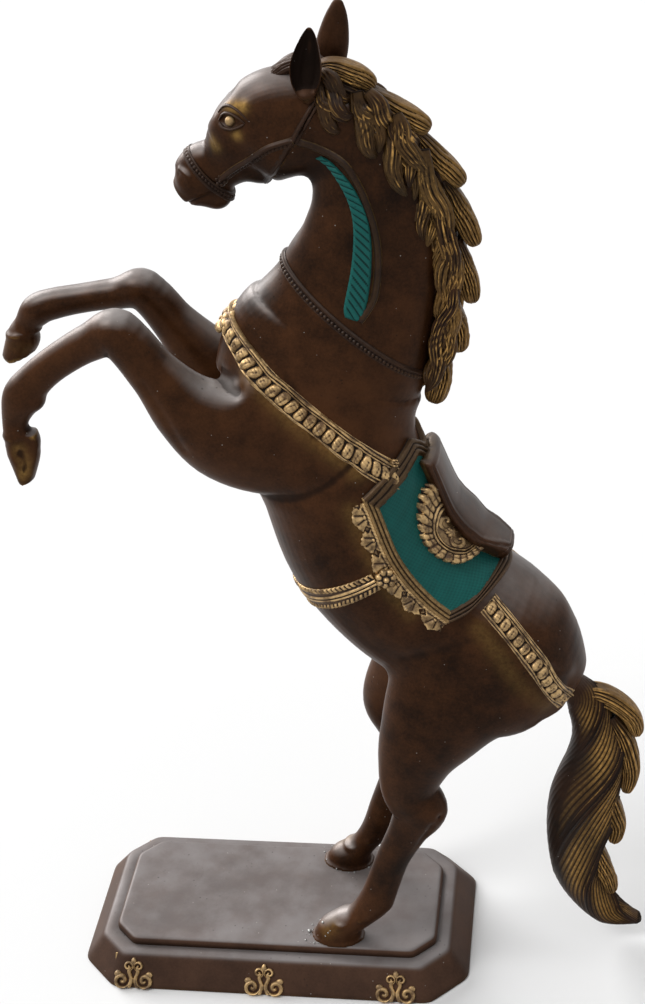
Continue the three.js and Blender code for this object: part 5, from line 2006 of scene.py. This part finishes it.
@dataclass
class Tail:
    """The tail: a smooth body, bands of strands across it and tufts behind."""

    rows: Rows = (
        (176, 0, 207, 9, 9), (190, 0, 202.5, 9.5, 9.5), (198, 0, 191, 12, 11),
        (203, 0, 171, 14, 13), (203.5, 0, 147, 18.5, 15), (196.5, 0, 115, 21, 17),
        (192.5, 0, 82, 18, 16), (196, 0, 51, 14.5, 13), (212, 0, 24, 10, 9),
        (232, 0, 17, 4.2, 5),
    )
    tufts: tuple[Rows, ...] = (
        ((187, 199), (202.5, 199), (216, 192), (225, 181), (228.5, 167)),
        ((212, 183), (219.5, 168), (224, 153), (225, 138), (222.5, 122)),
        ((206, 130), (212.5, 116), (216, 104), (217.8, 93), (215.5, 80.5)),
        ((200, 88), (205, 73), (209.5, 60), (213.5, 49.5), (216, 38)),
    )
    bands: float = 1.7
    sweep: float = 2.5
    fine: float = 9.0

    def body(self) -> tuple[Pair, Array]:
        """The tail's body with strands that sweep down from its rear to its front, and their gold.

        Returns:
            The mesh and its gold.
        """
        sides = 320
        verts, quads = Loft(self.rows).tube(32, sides, 3)
        count = len(verts) // sides
        turn = circle(sides)
        rear = np.abs(np.mod(turn + math.pi, 2 * math.pi) - math.pi) / math.pi
        along = np.clip((np.arange(count) - 4) / (count - 9), 0, 1)
        a, t = np.meshgrid(rear, along)
        strand = self.bands * (a - self.sweep * t) + 0.12 * np.sin(9 * t + 2 * a)
        band = np.abs(np.cos(math.pi * strand))
        fine = 0.7 * np.abs(np.cos(math.pi * self.fine * strand + 0.8 * np.sin(21 * t)))
        fine = fine + 0.3 * np.abs(np.cos(2.3 * math.pi * self.fine * strand + 2 * np.sin(8 * t)))
        fade = np.clip((0.8 - a) / 0.35, 0.15, 1) * np.clip((t - 0.1) * 8, 0, 1)
        fade = fade * np.clip((1 - t) * 14, 0.3, 1)
        height = fade * (3.6 * (band**0.55 - 0.7) + 1.7 * (fine - 0.5))
        crown = np.clip((band - 0.3) / 0.5, 0, 1) * (0.4 + 0.6 * np.sin(7 * t + 5 * a) ** 2)
        gold = np.clip(2.6 * np.clip(fade - 0.2, 0, 1) * crown * (0.04 + 0.96 * fine**3), 0, 1)
        verts = verts + vertex_normals(verts, quads) * height.reshape(-1, 1)
        return (verts, quads), gold.ravel()

    def build(self, palette: Palette) -> None:
        """Makes the tail in one casting.

        Args:
            palette: the finishes.
        """
        body, gold = self.body()
        locks = []
        for i, tuft in enumerate(self.tufts):
            half = (4, 6.6, 6.8, 6, 4.5)
            lock = Lock(lengthwise(tuft), half, (5, 8, 8, 7, 5), strands=7, groove=0.36, seed=0.6 * i)
            lock.gold = (0.0, 0.25, 0.45, 0.55, 0.4)
            locks.append(lock)
        mesh = merge(body, *(lock.mesh() for lock in locks))
        gold = np.concatenate([gold] + [lock.gilding() for lock in locks])
        add_piece("tail_locks", *mesh, palette.get("hair"), Slot.HAIR, ("tail",), gold=gold, passes=12)


@dataclass
class Ears:
    """Two pricked ears, hollowed on the side that faces out."""

    left: Rows = (
        (57, -15.8, 573, 2.8, 3), (56.4, -17.4, 578, 5.4, 4.6), (56.3, -18.2, 583.5, 7.4, 5.5),
        (57, -18.7, 590, 8, 5.6), (58, -19, 596, 7, 5), (59.2, -19.5, 602.5, 5, 3.6),
        (60, -20, 607.5, 2.9, 2.1), (60.3, -20.5, 610.5, 0.9, 0.9),
    )
    right: Rows = (
        (65.8, 15, 573, 3, 3.2), (64.9, 16.8, 578.5, 6.4, 4.8), (64.8, 17.6, 584.5, 8, 5.6),
        (65.8, 18, 591.5, 8.2, 5.6), (67.3, 18.6, 599, 7, 4.8), (68.6, 19, 606, 5, 3.4),
        (69.4, 20, 612.2, 2, 1.6),
    )
    opening: Row = (-0.1, 0.95, 0.2)
    hollow: float = 1.7
    hollow_edge: float = 0.25
    foot_edge: float = 0.55
    foot_length: float = 0.28

    def build(self, palette: Palette) -> None:
        """Makes both ears.

        Args:
            palette: the finishes.
        """
        steps, sides = 48, 72
        for name, side in SIDES.items():
            t = np.linspace(0, 1, steps)
            table = spline(getattr(self, name), t)
            centre = table[:, :3]
            tangent = unit(np.gradient(centre, axis=0))
            front = np.array((self.opening[0], side * self.opening[1], self.opening[2]))
            front = unit(front - tangent * (tangent @ front)[:, None])
            across = np.cross(front, tangent)
            turn = circle(sides)
            reach = np.cos(turn)[None] + 0 * t[:, None]
            edge = self.hollow_edge + self.foot_edge * np.clip(1 - t / self.foot_length, 0, 1)[:, None]
            dip = np.clip((reach - edge) / (0.8 * (1 - edge)), 0, 1) ** 0.7 * self.hollow
            inner = np.clip(t * 12 - 1.3, 0, 1) * np.clip((1 - t) * 7, 0, 1)
            inner = inner * (0.6 + 0.4 * np.clip(t / 0.45, 0, 1))
            tip = np.sqrt(np.clip(1 - np.clip((t - 0.95) / 0.05, 0, 1) ** 2, 0, 1))[:, None]
            rise = (reach - dip * inner[:, None]) * table[:, 4:5] * tip
            points = centre[:, None] + front[:, None] * rise[..., None]
            points = points + across[:, None] * (np.sin(turn) * table[:, 3:4] * tip)[..., None]
            probe = 20 * sides + sides // 2
            mesh = facing_out(points.reshape(-1, 3), capped(steps, sides), centre[20], probe)
            # The wide smoothing makes the whole hollow a groove, so it is darkened nearly to black: dark
            # patina, and painted shade.
            finish = palette.get("plain")
            add_piece(f"ear_cup_{name}", *mesh, finish, Slot.PATINA, (f"ear_{name}",), passes=150)


@dataclass
class Eyes:
    """Gilt eyeballs between raised lids."""

    centre: Row = (16.5, 14.6, 562.5)
    radius: float = 2.7
    lids: tuple[Rows, ...] = (
        ((10.2, 562.2), (12.8, 565.4), (16.4, 566.2), (20.5, 564.8), (24.8, 562.2)),
        ((9.6, 565.2), (13, 568.6), (17, 569.4), (21.8, 567.4), (26.6, 563.2)),
        ((10.6, 561.4), (13, 559.4), (16.8, 559), (20.8, 560.2), (24.2, 562)),
    )
    lid_lifts: Row = (0.3, -0.1, 0.2)
    lid_halves: Row = (0.75, 0.7, 0.7)

    def build(self, skin: Skin, palette: Palette) -> None:
        """Makes both eyes with their lids.

        Args:
            skin: the skin below.
            palette: the finishes.
        """
        for name, side in SIDES.items():
            x, y, z = self.centre
            globe = ball((x, side * y, z), (self.radius,) * 3, 20)
            add_piece(f"eyeball_{name}", *globe, palette.get("gilt"), Slot.GILT, (f"eye_{name}",), passes=2)
            parts = []
            for i, lid in enumerate(self.lids):
                lift = np.array((0, self.lid_lifts[i] * side, 0))
                path = [tuple(skin.beside(*spot, side, 40) + lift) for spot in lid]
                half = (0.4, *(self.lid_halves[i],) * 3, 0.4)
                lock = Lock(path, half, (0.5, 1.2, 1.2, 1.2, 0.5), (0, side, 0), 1, 0)
                parts.append(lock.mesh(30, 16))
            add_piece(f"eyelids_{name}", *merge(*parts), palette.get("border"), Slot.PATINA, (), passes=4)


# Base


@dataclass
class Base:
    """The flared plinth and its deck, with scrolls round the skirt and studs under the hooves."""

    half_x: float = 105.0
    half_y: float = 47.0
    cut: float = 14.0
    deck_height: float = 4.8
    ledge: float = 8.0
    flare: float = 13.5
    skirt: float = 18.5
    wall: float = 4.5
    rib: float = 3.0
    scroll_places: Row = (-89, -3.5, 81)
    scroll_half: float = 13.0
    weld_drops: Rows = (
        (23, -33, 1.3), (21.5, -41, 0.7), (29, -23, 0.8), (34, -19, 0.6), (33, -37, 0.9),
        (41, -41.5, 0.7), (51, -42.5, 0.6), (61.5, -33, 0.8), (55, 28, 0.7), (46, 22.5, 0.6),
    )
    weld_rings: Rows = ((42, -34, 20), (41, 36, 8))
    weld_reach: Row = (17.4, 12.0)
    weld_edge: float = -43.0
    scroll_sink: float = 3.8
    scroll_floor: float = 0.05
    back_relief: float = 0.45
    back_shift: float = 1.5

    def out(self, z: float) -> float:
        """How far the skirt stands out from the deck at a height."""
        return self.ledge + self.flare * (1 - z / self.skirt)

    def ring(self, out: float, z: float, soften: int = 5) -> Array:
        """A ring of points round the base with softened corners.

        Args:
            out: how far it stands out from the deck.
            z: its height.
            soften: how many times the corners are smoothed.

        Returns:
            The points.
        """
        x = self.half_x + out
        y = self.half_y + out
        cut = self.cut + max(0.5 * (out - self.ledge) + 3, 0) + 0.5 * min(out, 0)
        corners = [(x, cut - y), (x, y - cut), (x - cut, y), (cut - x, y)]
        corners += [(-x, y - cut), (-x, cut - y), (cut - x, -y), (x - cut, -y)]
        counts = (40, 16, 90, 16, 40, 16, 90, 16)
        points = []
        for start, end, count in zip(corners, corners[1:] + corners[:1], counts):
            share = np.linspace(0, 1, count, endpoint=False)[:, None]
            points.append(np.array(start) * (1 - share) + np.array(end) * share)
        flat = np.concatenate(points)
        for _ in range(soften):
            flat = (np.roll(flat, 1, 0) + flat * 2 + np.roll(flat, -1, 0)) / 4
        return np.column_stack((flat, np.full(len(flat), z)))

    def stack(self, profile: Sequence[Row]) -> Mesh:
        """A closed body through rings round the base.

        Args:
            profile: reach and height of each ring.

        Returns:
            The mesh.
        """
        rings = [self.ring(out, z) for out, z in profile]
        faces = capped(len(rings), len(rings[0]))
        faces[-2:] = [face[::-1] for face in faces[-2:]]
        return np.concatenate(rings), faces

    def build(self, skin: Skin, palette: Palette) -> None:
        """Makes the plinth, the deck, the scrolls and the welds.

        Args:
            skin: the skin below.
            palette: the finishes.
        """
        stand = palette.get("stand")
        slope = [(self.out(z), z) for z in np.linspace(0.9, self.skirt - 1.4, 9)]
        inner = self.skirt - self.wall
        profile = [(self.out(inner) - self.wall, inner), (self.out(0) - self.wall, 0.0)]
        profile += [(self.out(0) - 1.0, 0.0), *slope, (self.out(self.skirt) - 0.3, self.skirt - 0.5)]
        profile += [(self.ledge - 1.2, self.skirt), (2.0, self.skirt - 0.15)]
        profile += [(0.8, self.skirt - 0.5), (-2.0, self.skirt - 0.5)]
        plinth = self.stack(profile)
        rib = self.bar(self.rib, inner + 0.2)
        add_piece("plinth_shell", *merge(plinth, rib), stand, Slot.BASE, ("base_plinth",))
        top = self.skirt + self.deck_height
        turn = np.radians(np.linspace(0, 90, 9))
        profile = [(-4.0, self.skirt - 0.4), (0.0, self.skirt - 0.4), (0.0, top - 3.2)]
        profile += [(-3.2 + 3.2 * math.cos(a), top - 3.2 + 3.2 * math.sin(a)) for a in turn[1:]]
        profile += [(-6.0, top), (-14.0, top), (-24.0, top)]
        add_piece("deck_slab", *self.stack(profile), stand, Slot.BASE, ("deck_plate",))
        gilt = palette.get("gilt")
        for i, x in enumerate(self.scroll_places, 1):
            for name, side in (("front", -1), ("back", 1)):
                self.scroll(f"scroll_{name}_{i}", x, side, gilt)
        self.drops(skin, palette)
        for name in ("hoof_stud", "stud_washer", "stud_nut"):
            for side in SIDES:
                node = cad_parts[f"{name}_{side}"]
                node.data.materials.clear()
                node.data.materials.append(palette.get("steel"))

    def bar(self, half: float, top: float) -> Mesh:
        """A bar across the hollow of the plinth, with its ends in the sloped walls.

        Args:
            half: half its width.
            top: its height.

        Returns:
            The mesh.
        """
        corners = []
        for x in (-half, half):
            for side in (-1, 1):
                for z in (0.0, top):
                    corners.append((x, side * (self.half_y + self.out(z) - self.wall + 0.6), z))
        faces = [[0, 1, 3, 2], [4, 6, 7, 5], [0, 4, 5, 1], [2, 3, 7, 6], [0, 2, 6, 4], [1, 5, 7, 3]]
        return np.array(corners, float), faces

    def scroll(self, name: str, place: float, side: int, gilt: Material) -> None:
        """Adds one scroll ornament to the skirt.

        Args:
            name: the node that it stands for.
            place: its place along the base.
            side: -1 for the front of the base and 1 for its back, where the relief is lower.
            gilt: its finish.
        """
        reach = np.linspace(-self.scroll_half, self.scroll_half, 120)
        a, z = np.meshgrid(reach, np.linspace(0.4, self.skirt - 0.6, 84), indexing="ij")
        spread = self.half_y + self.out(z)
        points = np.stack((place - side * a, side * spread, z), -1)
        normal = unit(np.array((0.0, side * self.skirt, self.flare)))
        patch = Patch(points, np.broadcast_to(normal, points.shape).copy())
        b = z * math.hypot(self.skirt, self.flare) / self.skirt
        if side > 0:
            b = b + self.back_shift
        height = np.full(a.shape, -3.0)
        for half in (-1, 1):
            for cx, cy, size, start, twist in ((7.4, 5.4, 5.2, 2.6, 1), (3.4, 14.4, 3.2, -1.4, -1)):
                r = np.hypot(a - half * cx, b - cy)
                angle = np.arctan2(b - cy, half * (a - half * cx))
                coil = np.mod(twist * (angle - start) + r / size * 7.6, 2 * math.pi) - math.pi
                wound = (r < size) & (np.abs(coil) < 2.0)
                height = np.maximum(height, np.where(wound, 0.5 + 1.5 * bulge(coil, 2.0), -3.0))
            stem = np.abs(half * a - (2.0 + 0.9 * np.cos(b * 0.55)))
            rising = (b > 0.8) & (b < 14) & (stem < 1.3)
            height = np.maximum(height, np.where(rising, 0.4 + 1.6 * bulge(stem, 1.3), -3.0))
            leaf = np.hypot((half * a - 10.3) / 2.3, (b - 9.4) / 2.0)
            height = np.maximum(height, np.where(leaf < 1, 0.4 + 1.3 * bulge(leaf, 1), -3.0))
        bud = np.hypot(a / 1.8, (b - 17.6) / 2.5)
        height = np.maximum(height, np.where((bud < 1) & (side < 0), 0.5 + 1.6 * bulge(bud, 1), -3.0))
        height = np.where((height > 0) & (side > 0), self.back_relief * height, height)
        verts, faces = patch.relief(height, self.scroll_sink)
        verts[:, 2] = np.maximum(verts[:, 2], self.scroll_floor)
        add_piece(f"{name}_relief", verts, faces, gilt, Slot.GILT, (name,), passes=6)

    def drops(self, skin: Skin, palette: Palette) -> None:
        """Scatters small drops of weld on the hind hooves and round them.

        Args:
            skin: the skin below.
            palette: the finishes.
        """
        parts = []
        chance = np.random.default_rng(23)
        crumbs = []
        long, wide = self.weld_reach
        for x, y, count in self.weld_rings:
            for _ in range(int(count)):
                turn = math.radians(chance.uniform(105, 285))
                reach = chance.uniform(0.9, 1.35)
                aside = max(y + wide * reach * math.sin(turn), self.weld_edge)
                crumbs.append((x + long * reach * math.cos(turn), aside, chance.uniform(0.25, 0.65)))
        for x, y, size in (*self.weld_drops, *crumbs):
            found = skin.tree.ray_cast(Vector((x, y, DECK_TOP + 14)), Vector((0, 0, -1)), 14.0)[0]
            z = DECK_TOP if found is None else found[2]
            parts.append(ball((x, y, z + 0.3 * size), (size, size, 0.8 * size), 8))
        add_piece("weld_drops", *merge(*parts), palette.get("steel"), Slot.STEEL, (), passes=2)


# Stage


@dataclass(frozen=True)
class Studio:
    """A pale floor, soft lights and the camera."""

    spot: Row = (0.1919, -0.8625, 0.8693)
    yaw: float = -9.57
    pitch: float = 31.65
    roll: float = -4.2
    lens: float = 64.54
    floor: float = 0.78
    bounce: float = 0.3
    sky: float = 0.25

    def build(self) -> None:
        """Sets the stage."""
        scene = bpy.context.scene
        scene.view_settings.view_transform = "Standard"
        self.camera(scene)
        self.world(scene)
        self.ground()
        self.light("key", (-1.1, -0.55, 1.5), 26, 1.45)
        self.light("top", (0.15, 0.1, 1.0), 90, 0.65)
        self.light("window", (-1.0, 0.85, 0.6), 38, 3.5)

    def camera(self, scene: bpy.types.Scene) -> None:
        """Adds the camera.

        Args:
            scene: the scene.
        """
        yaw, pitch, roll = (math.radians(v) for v in (self.yaw, self.pitch, self.roll))
        level = math.cos(pitch)
        forward = Vector((math.sin(yaw) * level, math.cos(yaw) * level, -math.sin(pitch)))
        right = Vector((math.cos(yaw), -math.sin(yaw), 0))
        up = right.cross(forward)
        side = math.cos(roll) * right + math.sin(roll) * up
        top = -math.sin(roll) * right + math.cos(roll) * up
        data = bpy.data.cameras.new("camera")
        data.sensor_fit = "VERTICAL"
        data.sensor_height = 36
        data.lens = self.lens
        camera = bpy.data.objects.new("camera", data)
        turn = Matrix((side, top, -forward)).transposed().to_4x4()
        camera.matrix_world = Matrix.Translation(self.spot) @ turn
        scene.collection.objects.link(camera)
        scene.camera = camera

    def world(self, scene: bpy.types.Scene) -> None:
        """Makes the surroundings white for the camera and softer as a light.

        Args:
            scene: the scene.
        """
        world = bpy.data.worlds.new("studio")
        world.use_nodes = True
        scene.world = world
        nodes = Nodes(world.node_tree)
        background = world.node_tree.nodes["Background"]
        nodes.feed(background.inputs["Strength"], nodes.ramp(self.seen(nodes), 0.0, 1.0, self.sky, 1.0))
        background.inputs["Color"].default_value = (1, 1, 1, 1)

    def seen(self, nodes: Nodes) -> Socket:
        """One for rays from the camera, from gloss and through glass, and zero for others.

        Args:
            nodes: the nodes to add to.

        Returns:
            The value.
        """
        path = nodes.add("ShaderNodeLightPath")
        seen = nodes.math("ADD", path.outputs["Is Camera Ray"], path.outputs["Is Glossy Ray"])
        return nodes.math("ADD", seen, path.outputs["Is Transmission Ray"], clamp=True)

    def ground(self) -> None:
        """Adds the floor."""
        mesh = bpy.data.meshes.new("floor")
        mesh.from_pydata([(-8, -8, 0), (8, -8, 0), (8, 8, 0), (-8, 8, 0)], [], [(0, 1, 2, 3)])
        material, nodes, shader = new_material("floor")
        tone = nodes.ramp(self.seen(nodes), 0.0, 1.0, self.bounce, self.floor)
        nodes.feed(shader.inputs["Base Color"], tone)
        shader.inputs["Roughness"].default_value = 0.9
        mesh.materials.append(material)
        floor = bpy.data.objects.new("floor", mesh)
        bpy.context.scene.collection.objects.link(floor)

    def light(self, name: str, toward: Row, spread: float, strength: float) -> None:
        """Adds a wide soft light that is as strong all over.

        Args:
            name: the light's name.
            toward: the direction that it comes from.
            spread: how wide it looks, in degrees.
            strength: its strength.
        """
        data = bpy.data.lights.new(name, "SUN")
        data.angle = math.radians(spread)
        data.energy = strength
        lamp = bpy.data.objects.new(name, data)
        lamp.rotation_euler = Vector(toward).to_track_quat("Z", "Y").to_euler()
        bpy.context.scene.collection.objects.link(lamp)


def main() -> None:
    """Builds the horse piece by piece."""
    logging.basicConfig(level=logging.INFO, format="%(message)s")
    palette = Palette()
    Studio().build()
    skin = Skin()
    skin.build(palette.get("body"))
    Harness().build(skin, palette)
    Bridle().build(skin, palette)
    NeckPlume().build(skin, palette)
    Saddle().build(skin, palette)
    Mane().build(skin, palette)
    Tail().build(palette)
    Ears().build(palette)
    Eyes().build(skin, palette)
    Base().build(skin, palette)


if __name__ == "__main__":
    main()
